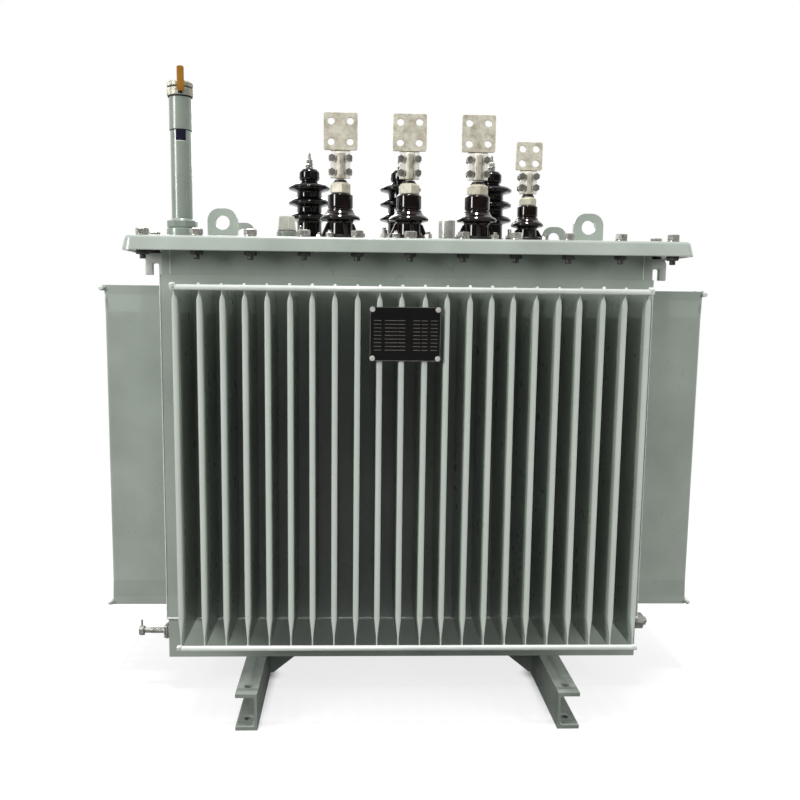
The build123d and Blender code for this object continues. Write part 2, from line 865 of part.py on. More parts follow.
def terminals_of_low_side():
    """Nuts, studs, front jaws and palms of the four low-voltage bushings."""
    nuts, studs, jaws = [], [], []
    rows = [("palm_" + letter, x, True) for letter, x in zip("abc", phase_places)]
    rows.append(("palm_neutral", neutral_x, False))
    for name, x, phase in rows:
        body = phase_body_height if phase else neutral_body_height
        stud = phase_stud_radius if phase else neutral_stud_radius
        nut_width = phase_nut_width if phase else neutral_nut_width
        nut_height = phase_nut_height if phase else neutral_nut_height
        jaw_width = phase_jaw_width if phase else neutral_jaw_width
        jaw_height = phase_jaw_height if phase else neutral_jaw_height
        jaw_lift = phase_jaw_lift if phase else neutral_jaw_lift
        jaw_bottom = lid_top + body + nut_height + jaw_lift
        size = (neutral_palm_width, neutral_palm_height)
        holes = (neutral_palm_hole_x, neutral_palm_hole_z)
        if phase:
            size = (phase_palm_width, phase_palm_height)
            holes = (phase_palm_hole_x, phase_palm_hole_z)
        nuts.append(low_nut(x, body, nut_width, nut_height, stud))
        studs.append(low_stud(x, body, stud, nut_height + jaw_lift + jaw_height - jaw_gap))
        jaws.append(jaw(x, jaw_bottom, jaw_height - jaw_step, jaw_width, stud, -1))
        save(palm(x, jaw_bottom, jaw_height, jaw_width, stud, size, holes), "low_" + name)
    save(Compound(children=nuts), "low_nuts")
    save(Compound(children=studs), "low_studs")
    save(Compound(children=jaws), "low_front_jaws")


os.makedirs("parts", exist_ok=True)

save(foot(-1), "left_foot")
save(foot(1), "right_foot")
save(gussets(), "foot_gussets")
save(tank_floor(), "tank_floor")
frame_inner = (2 * (frame_x - base_frame_thickness), 2 * (frame_y - base_frame_thickness))
save(ring_plate(floor_top, base_frame_height, (2 * frame_x, 2 * frame_y), frame_inner),
     "base_frame")
save(long_wall(-1), "front_wall")
save(long_wall(1), "back_wall")
save(end_wall(-1), "left_wall")
save(end_wall(1), "right_wall")

front_fin = fin(front_fin_depth)
side_fin = fin(side_fin_depth)
save(fin_bank(front_fin, front_fin_count, front_end_shift, 0, -half_width, 0), "front_fins")
save(fin_bank(front_fin, front_fin_count, front_end_shift, 0, half_width, 180), "back_fins")
save(fin_bank(side_fin, side_fin_count, 0, -half_length, 0, -90), "left_fins")
save(fin_bank(side_fin, side_fin_count, 0, half_length, 0, 90), "right_fins")
save(fin_rods(), "fin_rods")

gasket_outer = (inner_length + 2 * gasket_width, inner_width + 2 * gasket_width)
save(tank_flange(), "tank_flange")
save(ring_plate(flange_top, gasket_thickness, gasket_outer, (inner_length, inner_width)),
     "lid_gasket")
save(lid(), "lid")

for end, x in (("left", lug_shift_x - lug_x), ("right", lug_shift_x + lug_x)):
    save(lifting_lug(x, -lug_y), f"lug_front_{end}")
    save(lifting_lug(x, lug_y), f"lug_back_{end}")
save(hooks(-1), "left_hooks")
save(hooks(1), "right_hooks")

for number, x in enumerate(high_places, 1):
    save(high_bushing(x), f"high_bushing_{number}")
    save(high_terminal(x), f"high_terminal_{number}")
high_rings = [clamp_ring(high_base_radius, x, high_row_y) for x in high_places]
save(Compound(children=high_rings), "high_clamp_rings")

for letter, x in zip("abc", phase_places):
    save(phase_bushing(x), f"low_bushing_{letter}")
save(neutral_bushing(), "low_bushing_neutral")
low_rings = [clamp_ring(phase_base_radius, x, low_row_y) for x in phase_places]
low_rings.append(clamp_ring(neutral_base_radius, neutral_x, low_row_y))
save(Compound(children=low_rings), "low_clamp_rings")
terminals_of_low_side()

save(gauge_base(), "gauge_base")
save(gauge_tube(), "gauge_tube")
save(gauge_window(), "gauge_window")
save(gauge_cap(), "gauge_cap")
save(gauge_lever(), "gauge_lever")
save(filler_cap(), "filler_cap")
save(tap_changer_cover(), "tap_changer_cover")
save(drain_valve(), "drain_valve")
save(earth_terminal(), "earth_terminal")
save(nameplate(), "nameplate")
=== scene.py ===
"""Looks of an oil-filled distribution transformer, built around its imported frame."""

from __future__ import annotations

import logging
import math
from dataclasses import dataclass
from enum import Enum
from typing import Iterable, Sequence

import bmesh
import bpy
from mathutils import Matrix, Vector


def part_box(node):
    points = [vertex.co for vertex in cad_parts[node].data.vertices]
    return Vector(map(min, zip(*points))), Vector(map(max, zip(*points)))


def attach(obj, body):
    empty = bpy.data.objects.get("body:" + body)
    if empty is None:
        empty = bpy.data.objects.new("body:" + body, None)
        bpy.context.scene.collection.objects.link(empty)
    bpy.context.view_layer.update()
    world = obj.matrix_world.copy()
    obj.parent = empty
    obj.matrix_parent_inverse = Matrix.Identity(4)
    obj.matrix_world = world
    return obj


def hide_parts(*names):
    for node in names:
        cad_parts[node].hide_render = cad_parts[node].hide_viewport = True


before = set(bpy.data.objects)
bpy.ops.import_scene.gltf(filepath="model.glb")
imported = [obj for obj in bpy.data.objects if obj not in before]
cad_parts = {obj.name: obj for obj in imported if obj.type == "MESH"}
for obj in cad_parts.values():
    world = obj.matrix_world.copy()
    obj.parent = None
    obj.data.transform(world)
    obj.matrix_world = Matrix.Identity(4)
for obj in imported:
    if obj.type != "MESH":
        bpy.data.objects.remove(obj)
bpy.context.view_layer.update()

LOG = logging.getLogger("transformer")
BODY = "root"
MM = 0.001
SHARP_ANGLE = 35.0
COPY_ANGLE = 32.0
MERGE = 0.002 * MM

Colour = tuple[float, float, float, float]
Point = tuple[float, float, float]


def shade(red: int, green: int, blue: int) -> Colour:
    """Turn a colour as seen on a screen into the renderer's linear values.

    Args:
        red: red from 0 to 255.
        green: green from 0 to 255.
        blue: blue from 0 to 255.

    Returns:
        The linear colour with full opacity.
    """

    def linear(value: float) -> float:
        """Undo the screen's curve for one channel."""
        part = value / 255.0
        return part / 12.92 if part <= 0.04045 else ((part + 0.055) / 1.055) ** 2.4

    return (linear(red), linear(green), linear(blue), 1.0)


WHITE: Colour = (1.0, 1.0, 1.0, 1.0)
BLACK: Colour = (0.0, 0.0, 0.0, 1.0)
FLOOR_GREY: Colour = (0.9, 0.9, 0.9, 1.0)


# Materials


class ShaderGraph:
    """Node tree of one material, with short calls for the nodes that the finishes share."""

    def __init__(self, name: str) -> None:
        """Start an empty material that holds one principled shader.

        Args:
            name: name of the material.
        """
        self.material = bpy.data.materials.new(name)
        self.material.use_nodes = True
        self.tree = self.material.node_tree
        self.tree.nodes.clear()
        self.shader = self.node("ShaderNodeBsdfPrincipled")
        output = self.node("ShaderNodeOutputMaterial")
        self.link(self.shader.outputs["BSDF"], output.inputs["Surface"])
        self.place = self.node("ShaderNodeTexCoord").outputs["Object"]

    def node(self, kind: str, **settings: object) -> bpy.types.Node:
        """Add a node and set its properties.

        Args:
            kind: type name of the node.
            settings: properties to set on it.

        Returns:
            The new node.
        """
        made = self.tree.nodes.new(kind)
        for key, value in settings.items():
            setattr(made, key, value)
        return made

    def link(self, source: bpy.types.NodeSocket, target: bpy.types.NodeSocket) -> None:
        """Join an output to an input."""
        self.tree.links.new(source, target)

    def feed(self, target: bpy.types.NodeSocket, value: object) -> None:
        """Link a socket to the target, or set the target to a constant.

        Args:
            target: input to fill.
            value: another socket, a number or a colour.
        """
        if isinstance(value, bpy.types.NodeSocket):
            self.link(value, target)
        else:
            target.default_value = value

    def set(self, **sockets: object) -> None:
        """Fill the shader's inputs by name, with underscores for spaces."""
        for key, value in sockets.items():
            self.feed(self.shader.inputs[key.replace("_", " ")], value)

    def stretched(self, scale: Point) -> bpy.types.NodeSocket:
        """Object coordinates with each axis scaled by itself."""
        mapping = self.node("ShaderNodeMapping")
        mapping.inputs["Scale"].default_value = scale
        self.link(self.place, mapping.inputs["Vector"])
        return mapping.outputs["Vector"]

    def noise(self, scale: float, detail: float = 3.0, rough: float = 0.5,
              stretch: Point | None = None) -> bpy.types.NodeSocket:
        """Noise from 0 to 1 in object space.

        Args:
            scale: features per metre.
            detail: number of finer layers.
            rough: strength of the finer layers.
            stretch: scale of each axis, where the noise has a direction.

        Returns:
            The noise's value.
        """
        made = self.node("ShaderNodeTexNoise")
        self.link(self.stretched(stretch) if stretch else self.place, made.inputs["Vector"])
        made.inputs["Scale"].default_value = scale
        made.inputs["Detail"].default_value = detail
        made.inputs["Roughness"].default_value = rough
        return made.outputs["Fac"]

    def spread(self, value: bpy.types.NodeSocket, low: float, high: float,
               start: float = 0.0, stop: float = 1.0) -> bpy.types.NodeSocket:
        """Map a value from one range onto another, clamped.

        Args:
            value: socket to map.
            low: result at the start of the range.
            high: result at the end of the range.
            start: value that gives the low result.
            stop: value that gives the high result.

        Returns:
            The mapped value.
        """
        made = self.node("ShaderNodeMapRange")
        self.link(value, made.inputs["Value"])
        made.inputs["From Min"].default_value = start
        made.inputs["From Max"].default_value = stop
        made.inputs["To Min"].default_value = low
        made.inputs["To Max"].default_value = high
        return made.outputs["Result"]

    def mix(self, factor: object, first: object, second: object) -> bpy.types.NodeSocket:
        """Mix two colours.

        Args:
            factor: share of the second colour.
            first: first colour or socket.
            second: second colour or socket.

        Returns:
            The mixed colour.
        """
        made = self.node("ShaderNodeMix", data_type="RGBA")
        self.feed(made.inputs[0], factor)
        self.feed(made.inputs[6], first)
        self.feed(made.inputs[7], second)
        return made.outputs[2]

    def maths(self, operation: str, first: object, second: object = None) -> bpy.types.NodeSocket:
        """Work out a value from one or two others.

        Args:
            operation: kind of sum.
            first: first number or socket.
            second: second number or socket, where the sum needs one.

        Returns:
            The result.
        """
        made = self.node("ShaderNodeMath", operation=operation)
        self.feed(made.inputs[0], first)
        if second is not None:
            self.feed(made.inputs[1], second)
        return made.outputs[0]

    def bump(self, height: bpy.types.NodeSocket, distance: float, strength: float = 1.0,
             below: bpy.types.NodeSocket | None = None) -> bpy.types.NodeSocket:
        """Bump a surface by a height.

        Args:
            height: value from 0 to 1.
            distance: depth in metres between 0 and 1.
            strength: share of the bump that shows.
            below: normal to bump, where another bump comes first.

        Returns:
            The bumped normal.
        """
        made = self.node("ShaderNodeBump")
        made.inputs["Strength"].default_value = strength
        made.inputs["Distance"].default_value = distance
        self.link(height, made.inputs["Height"])
        if below:
            self.link(below, made.inputs["Normal"])
        return made.outputs["Normal"]

    def rounded(self, radius: float) -> bpy.types.NodeSocket:
        """Normal that rounds the sharp edges of a piece in the shading."""
        made = self.node("ShaderNodeBevel", samples=4)
        made.inputs["Radius"].default_value = radius
        return made.outputs["Normal"]

    def normal_along(self, axis: str) -> bpy.types.NodeSocket:
        """How far the surface's normal points along an axis."""
        made = self.node("ShaderNodeSeparateXYZ")
        self.link(self.node("ShaderNodeNewGeometry").outputs["Normal"], made.inputs[0])
        return made.outputs[axis]

    def facing_out(self, axis: str) -> bpy.types.NodeSocket:
        """Share of the surface that looks along an axis either way, such as a fin's nose."""
        return self.spread(self.maths("ABSOLUTE", self.normal_along(axis)), 0.0, 0.75, 0.35, 0.9)

    def facing_up(self) -> bpy.types.NodeSocket:
        """Share of the surface that looks upwards, from 0 to 1."""
        return self.spread(self.normal_along("Z"), 0.0, 1.0, 0.3, 0.95)


@dataclass(frozen=True)
class Finish:
    """A surface finish, with the name of a material slot."""

    name: str
    slot: str

    def dress(self, graph: ShaderGraph) -> None:
        """Fill the graph's shader."""
        raise NotImplementedError

    def material(self) -> bpy.types.Material:
        """Build the finish's material once, and hand out the same one after that."""
        known = bpy.data.materials.get(self.name)
        if known:
            return known
        graph = ShaderGraph(self.name)
        self.dress(graph)
        return graph.material


@dataclass(frozen=True)
class Enamel(Finish):
    """Sprayed enamel: soft mottling, a little dust on top, orange peel, rounded edges and, where an axis
    is given, a painted highlight on the faces that look along it.
    """

    main: Colour = shade(164, 173, 164)
    deep: Colour = shade(148, 157, 148)
    dust: Colour = shade(184, 190, 183)
    roughness: float = 0.30
    coat: float = 0.5
    peel: float = 0.00012
    edge: float = 0.0012
    # Lighter colour, painted on as a highlight where the surface looks along the axis in outer.
    painted_highlight: Colour = shade(200, 207, 199)
    outer: str = ""

    def dress(self, graph: ShaderGraph) -> None:
        """Fill the graph's shader with the sprayed enamel."""
        mottle = graph.spread(graph.noise(6.0, 4.0, 0.55), 0.0, 1.0, 0.35, 0.65)
        runs = graph.spread(graph.noise(14.0, 3.0, 0.5, (1.0, 1.0, 0.12)), 0.0, 1.0, 0.42, 0.7)
        body = graph.mix(mottle, self.main, self.deep)
        streak = graph.mix(0.10, body, graph.mix(runs, self.deep, self.main))
        specks = graph.spread(graph.noise(420.0, 2.0, 0.7), 0.0, 0.10, 0.62, 0.80)
        spotted = graph.mix(specks, streak, self.dust)
        patches = graph.spread(graph.noise(28.0, 5.0, 0.6), 0.05, 0.45, 0.3, 0.7)
        colour = graph.mix(graph.maths("MULTIPLY", graph.facing_up(), patches), spotted, self.dust)
        # Painted highlight: faces that look along the axis, such as the fins' noses, are mixed towards
        # the lighter colour.
        if self.outer:
            colour = graph.mix(graph.facing_out(self.outer), colour, self.painted_highlight)
        graph.set(Base_Color=colour)
        graph.set(Roughness=graph.spread(graph.noise(22.0, 4.0, 0.6), self.roughness - 0.05,
                                         self.roughness + 0.09, 0.3, 0.7))
        graph.set(Coat_Weight=self.coat, Coat_Roughness=0.18, Specular_IOR_Level=0.5)
        skin = graph.noise(310.0, 2.0, 0.45)
        waves = graph.noise(38.0, 2.0, 0.5)
        smooth = graph.bump(waves, 4.0 * self.peel, 0.2, graph.rounded(self.edge))
        graph.set(Normal=graph.bump(skin, self.peel, 0.6, smooth))


@dataclass(frozen=True)
class Glaze(Finish):
    """Dark glazed porcelain, a little redder in patches, under a clear coat."""

    main: Colour = shade(14, 10, 9)
    thin: Colour = shade(34, 17, 13)
    roughness: float = 0.08

    def dress(self, graph: ShaderGraph) -> None:
        """Fill the graph's shader with glazed porcelain."""
        cloud = graph.spread(graph.noise(45.0, 4.0, 0.6), 0.0, 1.0, 0.45, 0.75)
        graph.set(Base_Color=graph.mix(cloud, self.main, self.thin))
        graph.set(Roughness=graph.spread(graph.noise(120.0, 3.0), self.roughness - 0.03,
                                         self.roughness + 0.06))
        graph.set(Coat_Weight=0.4, Coat_Roughness=0.03, Specular_IOR_Level=0.3)
        graph.set(Normal=graph.bump(graph.noise(85.0, 2.0, 0.4), 0.0005, 0.25))


class Grain(Enum):
    """How a metal surface was worked."""

    CAST = "cast"
    PLATED = "plated"
    TURNED = "turned"


@dataclass(frozen=True)
class Metal(Finish):
    """Bare or plated metal whose grain follows the way it was worked."""

    main: Colour = shade(190, 188, 182)
    stain: Colour = shade(150, 146, 138)
    roughness: float = 0.32
    metallic: float = 1.0
    grain: Grain = Grain.PLATED

    def dress(self, graph: ShaderGraph) -> None:
        """Fill the graph's shader with the worked metal."""
        patches = graph.spread(graph.noise(60.0, 4.0, 0.6), 0.0, 1.0, 0.4, 0.7)
        colour = graph.mix(patches, self.main, self.stain)
        graph.set(Base_Color=colour, Metallic=self.metallic)
        graph.set(Roughness=graph.spread(graph.noise(150.0, 3.0), self.roughness - 0.08,
                                         self.roughness + 0.12))
        edge = graph.rounded(0.0006)
        if self.grain is Grain.CAST:
            graph.set(Normal=graph.bump(graph.noise(260.0, 4.0, 0.6), 0.0003, 0.5, edge))
        elif self.grain is Grain.TURNED:
            rings = graph.noise(90.0, 2.0, 0.5, (0.05, 0.05, 30.0))
            graph.set(Normal=graph.bump(rings, 0.00008, 0.6, edge))
        else:
            graph.set(Normal=graph.bump(graph.noise(700.0, 2.0, 0.5), 0.00008, 0.5, edge))


@dataclass(frozen=True)
class Moulded(Finish):
    """Moulded plastic, rubber or painted sheet, with a fine skin and slight fading."""

    main: Colour = shade(200, 200, 190)
    faded: Colour = shade(180, 180, 170)
    roughness: float = 0.45
    coat: float = 0.0

    def dress(self, graph: ShaderGraph) -> None:
        """Fill the graph's shader with the moulded surface."""
        fade = graph.spread(graph.noise(50.0, 4.0, 0.6), 0.0, 1.0, 0.35, 0.7)
        graph.set(Base_Color=graph.mix(fade, self.main, self.faded))
        graph.set(Roughness=graph.spread(graph.noise(200.0, 3.0), self.roughness - 0.06,
                                         self.roughness + 0.08))
        graph.set(Coat_Weight=self.coat, Coat_Roughness=0.08)
        graph.set(Normal=graph.bump(graph.noise(600.0, 3.0, 0.5), 0.0001, 0.5,
                                    graph.rounded(0.0005)))


TANK_ENAMEL = Enamel("tank_enamel", "tank_paint")
# The fin banks carry a painted highlight on their noses.
LONG_FINS = Enamel("long_bank_enamel", "tank_paint", outer="Y")
SHORT_FINS = Enamel("short_bank_enamel", "tank_paint", outer="X")
LID_ENAMEL = Enamel("lid_enamel", "tank_paint", roughness=0.40, coat=1.0, edge=4 * MM)
# Lighter copy of the tank paint for the rods and weld beads: a painted highlight.
PAINTED_HIGHLIGHT_ENAMEL = Enamel("rod_enamel_painted_highlight", "tank_paint", shade(222, 228, 221), shade(204, 210, 203))
PORCELAIN = Glaze("brown_glaze", "glazed_porcelain")
DARK_PORCELAIN = Glaze("black_glaze", "glazed_porcelain", shade(7, 7, 7), shade(15, 11, 10))
# Darker copy of the tank paint for the gauge: painted shade.
GAUGE_SHADE_ENAMEL = Enamel("gauge_enamel_painted_shade", "tank_paint", shade(146, 156, 145), shade(126, 136, 126))
# Darker copy of the tank paint for the feet: painted shade for their place under the tank.
FOOT_SHADE_ENAMEL = Enamel("foot_enamel_painted_shade", "tank_paint", shade(134, 142, 134), shade(110, 118, 110))
# Paler than the tank paint: partly the hooks' own lighter surface, partly painted light that offsets the
# lid's shadow on them.
HOOK_ENAMEL = Enamel("hook_enamel", "tank_paint", shade(204, 208, 202), shade(172, 176, 170),
                     peel=0.0003)
BLACK_RUBBER = Moulded("black_rubber", "gasket_rubber", shade(28, 28, 28), shade(40, 40, 38), 0.7)
ZINC = Metal("bright_zinc", "zinc_steel", shade(196, 195, 188), shade(136, 134, 126), 0.26, 0.6)
DARK_STEEL = Metal("dark_steel", "clamp_iron", shade(58, 56, 53), shade(36, 34, 32), 0.40, 0.5,
                   Grain.CAST)
NUT_STEEL = Metal("nut_steel", "clamp_iron", shade(92, 92, 88), shade(56, 56, 53), 0.38, 0.4)
CLAMP_IRON = Metal("clamp_casting", "clamp_iron", shade(30, 28, 27), shade(18, 17, 16), 0.36, 0.3,
                   Grain.CAST)
TINNED_COPPER = Metal("dull_tin_casting", "tinned_copper", shade(214, 209, 192), shade(168, 161, 142),
                      0.48, 0.15, Grain.CAST)
TINNED_BRASS = Metal("dull_tin_plating", "tinned_brass", shade(204, 199, 180), shade(166, 159, 140),
                     0.42, 0.2)
WORN_TIN = Metal("worn_tin", "tinned_copper", shade(204, 199, 184), shade(150, 144, 128), 0.42, 0.3,
                 Grain.CAST)
BRIGHT_TIN = Metal("bright_tin", "tinned_copper", shade(244, 242, 236), shade(222, 218, 208), 0.40,
                   0.15, Grain.CAST)
POLISHED = Metal("turned_alloy", "cap_metal", shade(222, 222, 216), shade(190, 190, 184), 0.30,
                 0.4, Grain.TURNED)
SIGHT_GLASS = Moulded("dark_glass", "sight_glass", shade(32, 32, 56), shade(22, 22, 44), 0.12, 0.6)
ORANGE = Moulded("orange_lever", "lever_orange", shade(166, 118, 34), shade(146, 98, 24), 0.4, 0.1)
CREAM = Moulded("cream_cap", "filler_plastic", shade(228, 228, 216), shade(210, 210, 196), 0.5)
BLACK_PLATE = Moulded("black_plate", "plate_black", shade(9, 8, 8), shade(17, 14, 13), 0.30, 0.0)
PALE_PRINT = Moulded("pale_print", "plate_black", shade(118, 114, 106), shade(92, 88, 82), 0.5)
CREAM_METAL = Metal("cream_metal", "cap_metal", shade(192, 189, 172), shade(156, 153, 136), 0.38, 0.5)
BOLT_STEEL = Metal("bolt_steel", "clamp_iron", shade(150, 147, 140), shade(84, 82, 78), 0.30, 0.5)


# Shapes


def face_outwards(work: bmesh.types.BMesh) -> None:
    """Turn each closed shell of a mesh outwards.

    Args:
        work: mesh to mend.
    """
    bmesh.ops.recalc_face_normals(work, faces=work.faces)
    waiting = set(work.faces)
    while waiting:
        front = [waiting.pop()]
        shell, volume = [], 0.0
        while front:
            face = front.pop()
            shell.append(face)
            volume += face.calc_center_median().dot(face.normal) * face.calc_area()
            for edge in face.edges:
                for other in edge.link_faces:
                    if other in waiting:
                        waiting.remove(other)
                        front.append(other)
        if volume < 0.0:
            bmesh.ops.reverse_faces(work, faces=shell)


def as_object(name: str, work: bmesh.types.BMesh, angle: float = SHARP_ANGLE) -> bpy.types.Object:
    """Turn a bmesh into an object in the scene, smooth except across sharp edges.

    Args:
        name: name of the object.
        work: mesh to use up.
        angle: edges that turn by more degrees than this stay sharp.

    Returns:
        The new object.
    """
    face_outwards(work)
    mesh = bpy.data.meshes.new(name)
    work.to_mesh(mesh)
    work.free()
    mesh.shade_smooth()
    mesh.set_sharp_from_angle(angle=math.radians(angle))
    made = bpy.data.objects.new(name, mesh)
    bpy.context.scene.collection.objects.link(made)
    return made


def rounded(points: Sequence[tuple[float, float, float]], steps: int = 4,
            closed: bool = False) -> list[tuple[float, float]]:
    """Round the corners of an outline.

    Args:
        points: first value, second value and rounding of each corner.
        steps: faces in each rounded corner.
        closed: whether the last corner leads back to the first.

    Returns:
        The outline's pairs of values.
    """
    result: list[tuple[float, float]] = []
    count = len(points)
    for index, (first, second, rounding) in enumerate(points):
        ends = not closed and index in (0, count - 1)
        if ends or rounding <= 0:
            result.append((first, second))
            continue
        here = Vector((first, second))
        before = Vector(points[index - 1][:2]) - here
        after = Vector(points[(index + 1) % count][:2]) - here
        half = before.angle(after) / 2
        reach = min(rounding / math.tan(half), before.length * 0.49, after.length * 0.49)
        start, stop = here + before.normalized() * reach, here + after.normalized() * reach
        for step in range(steps + 1):
            part = step / steps
            spot = start.lerp(here, part).lerp(here.lerp(stop, part), part)
            result.append((spot.x, spot.y))
    return result


def drum(radius: float, low: float, high: float, lower: float = 0.0,
         upper: float = 0.0) -> list[tuple[float, float]]:
    """Outline of a drum between two heights, with its lower and upper rims rounded."""
    return rounded([(0, low, 0), (radius, low, lower), (radius, high, upper), (0, high, 0)])


def circle(x: float, y: float, radius: float, steps: int = 32) -> list[tuple[float, float]]:
    """Round hole of a plate, as a clockwise loop."""
    return [(x + radius * math.cos(-math.tau * step / steps),
             y + radius * math.sin(-math.tau * step / steps)) for step in range(steps)]


def rectangle(width: float, height: float, corner: float, x: float = 0.0,
              y: float = 0.0) -> list[tuple[float, float]]:
    """Rounded rectangle about a centre, as an anticlockwise loop."""
    a, b = width / 2, height / 2
    return rounded([(x - a, y - b, corner), (x + a, y - b, corner), (x + a, y + b, corner),
                    (x - a, y + b, corner)], 5, True)


def thread(radius: float, start: float, stop: float, pitch: float = 2 * MM,
           depth: float = 0.6 * MM) -> list[tuple[float, float]]:
    """Outline of a threaded stretch, one ridge after another.

    Args:
        radius: radius over the ridges.
        start: height where the thread starts.
        stop: height where it ends.
        pitch: distance between ridges.
        depth: depth of the grooves.

    Returns:
        Radius and height pairs.
    """
    count = max(1, round(abs(stop - start) / pitch))
    step = (stop - start) / count
    found = [(radius - depth, start)]
    for number in range(count):
        found += [(radius, start + (number + 0.35) * step), (radius, start + (number + 0.6) * step),
                  (radius - depth, start + (number + 0.95) * step)]
    return found


def at(x: float, y: float, z: float) -> Matrix:
    """Place of a part that stands upright."""
    return Matrix.Translation((x, y, z))


def facing(x: float, y: float, z: float, axis: str) -> Matrix:
    """Place of a part whose own height points along an axis, such as +X or -Y."""
    turns = {"+X": (math.pi / 2, "Y"), "-X": (-math.pi / 2, "Y"), "-Y": (math.pi / 2, "X"),
             "+Y": (-math.pi / 2, "X"), "-Z": (math.pi, "X")}
    turn, about = turns[axis]
    return at(x, y, z) @ Matrix.Rotation(turn, 4, about)


class Shape:
    """A mesh in the making, with the solids that the fittings are built from."""

    pole = 0.05 * MM

    def __init__(self) -> None:
        """Start an empty mesh."""
        self.work = bmesh.new()

    def skin(self, rings: Sequence[Sequence[Point]], place: Matrix = Matrix()) -> Shape:
        """Join rings of equal length into a closed skin.

        Args:
            rings: rings of points, from one end to the other.
            place: where it goes.

        Returns:
            This shape, so that calls can follow each other.
        """
        made = [[self.work.verts.new(place @ Vector(point)) for point in ring] for ring in rings]
        count = len(made[0])
        for lower, upper in zip(made, made[1:]):
            for index in range(count):
                after = (index + 1) % count
                self.work.faces.new((lower[index], lower[after], upper[after], upper[index]))
        self.work.faces.new(list(reversed(made[0])))
        self.work.faces.new(made[-1])
        return self

    def turned(self, outline: Sequence[tuple[float, float]], place: Matrix = Matrix(),
               segments: int = 48, groove: float = 0.0) -> Shape:
        """Turn an outline of radius and height about its own axis.

        Args:
            outline: radius and height of each point, from one end of the axis to the other.
            place: where it goes.
            segments: number of faces round it.
            groove: depth of the knurling, where it has any.

        Returns:
            This shape.
        """
        rings = []
        for radius, height in outline:
            ring = []
            for step in range(segments):
                inset = groove if step % 4 > 1 else 0.0
                reach = max(radius - inset, self.pole)
                turn = math.tau * step / segments
                ring.append((reach * math.cos(turn), reach * math.sin(turn), height))
            rings.append(ring)
        return self.skin(rings, place)

    def prism(self, width: float, height: float, place: Matrix = Matrix(), bevel: float = 0.0,
              sides: int = 6, turn: float = 0.0) -> Shape:
        """Add a prism such as a nut, measured across its flats.

        Args:
            width: width across the flats.
            height: height along its own axis.
            place: where its base goes.
            bevel: height of the slope at both ends.
            sides: number of sides.
            turn: turn about its axis, in degrees.

        Returns:
            This shape.
        """
        radius = width / 2 / math.cos(math.pi / sides)
        levels = [(0.0, bevel), (bevel, 0.0), (height - bevel, 0.0), (height, bevel)]
        if not bevel:
            levels = [(0.0, 0.0), (height, 0.0)]
        rings = []
        for level, inset in levels:
            rings.append([((radius - inset) * math.cos(math.radians(turn) + math.tau * step / sides),
                           (radius - inset) * math.sin(math.radians(turn) + math.tau * step / sides),
                           level) for step in range(sides)])
        return self.skin(rings, place)

    def plate(self, loops: Sequence[Sequence[tuple[float, float]]], thickness: float, place: Matrix,
              bevel: float = 0.0) -> Shape:
        """Add a flat plate, with its middle in its own plane.

        Args:
            loops: outline first, anticlockwise, then the holes, clockwise.
            thickness: thickness of the plate.
            place: where it goes.
            bevel: rounding of its edges.

        Returns:
            This shape.
        """
        curve = bpy.data.curves.new("plate", "CURVE")
        curve.dimensions, curve.fill_mode = "2D", "BOTH"
        for loop in loops:
            spline = curve.splines.new("POLY")
            spline.points.add(len(loop) - 1)
            for point, (x, y) in zip(spline.points, loop):
                point.co = (x, y, 0.0, 1.0)
            spline.use_cyclic_u = True
        curve.extrude = thickness / 2 - bevel
        curve.bevel_depth, curve.offset, curve.bevel_resolution = bevel, -bevel, 1
        holder = bpy.data.objects.new("plate", curve)
        bpy.context.scene.collection.objects.link(holder)
        shown = holder.evaluated_get(bpy.context.evaluated_depsgraph_get())
        mesh = bpy.data.meshes.new_from_object(shown)
        mesh.transform(place)
        self.work.from_mesh(mesh)
        bmesh.ops.remove_doubles(self.work, verts=self.work.verts, dist=MERGE)
        bpy.data.objects.remove(holder)
        bpy.data.curves.remove(curve)
        bpy.data.meshes.remove(mesh)
        return self

    def done(self, name: str, angle: float = SHARP_ANGLE) -> bpy.types.Object:
        """Close the mesh and hand out its object."""
        return as_object(name, self.work, angle)


def settle(piece: bpy.types.Object, finish: Finish, *replaced: str) -> bpy.types.Object:
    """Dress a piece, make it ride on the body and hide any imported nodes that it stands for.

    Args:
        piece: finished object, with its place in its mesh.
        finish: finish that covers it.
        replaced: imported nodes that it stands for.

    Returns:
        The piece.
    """
    piece.data.materials.clear()
    piece.data.materials.append(finish.material())
    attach(piece, BODY)
    if replaced:
        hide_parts(*replaced)
    LOG.info("%s: %d faces, %s", piece.name, len(piece.data.polygons), finish.name)
    return piece


def refined(node: str, finish: Finish) -> bpy.types.Object:
    """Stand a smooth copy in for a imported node.

    Args:
        node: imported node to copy.
        finish: finish that covers it.

    Returns:
        The piece that stands for the node.
    """
    work = bmesh.new()
    work.from_mesh(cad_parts[node].data)
    bmesh.ops.remove_doubles(work, verts=work.verts, dist=MERGE)
    return settle(as_object(node + "_finished", work, COPY_ANGLE), finish, node)


def dress_node(node: str, finish: Finish) -> None:
    """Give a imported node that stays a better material."""
    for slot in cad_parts[node].material_slots:
        slot.material = finish.material()


def middle(node: str) -> Vector:
    """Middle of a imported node's box."""
    low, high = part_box(node)
    return (low + high) / 2


# Repeats


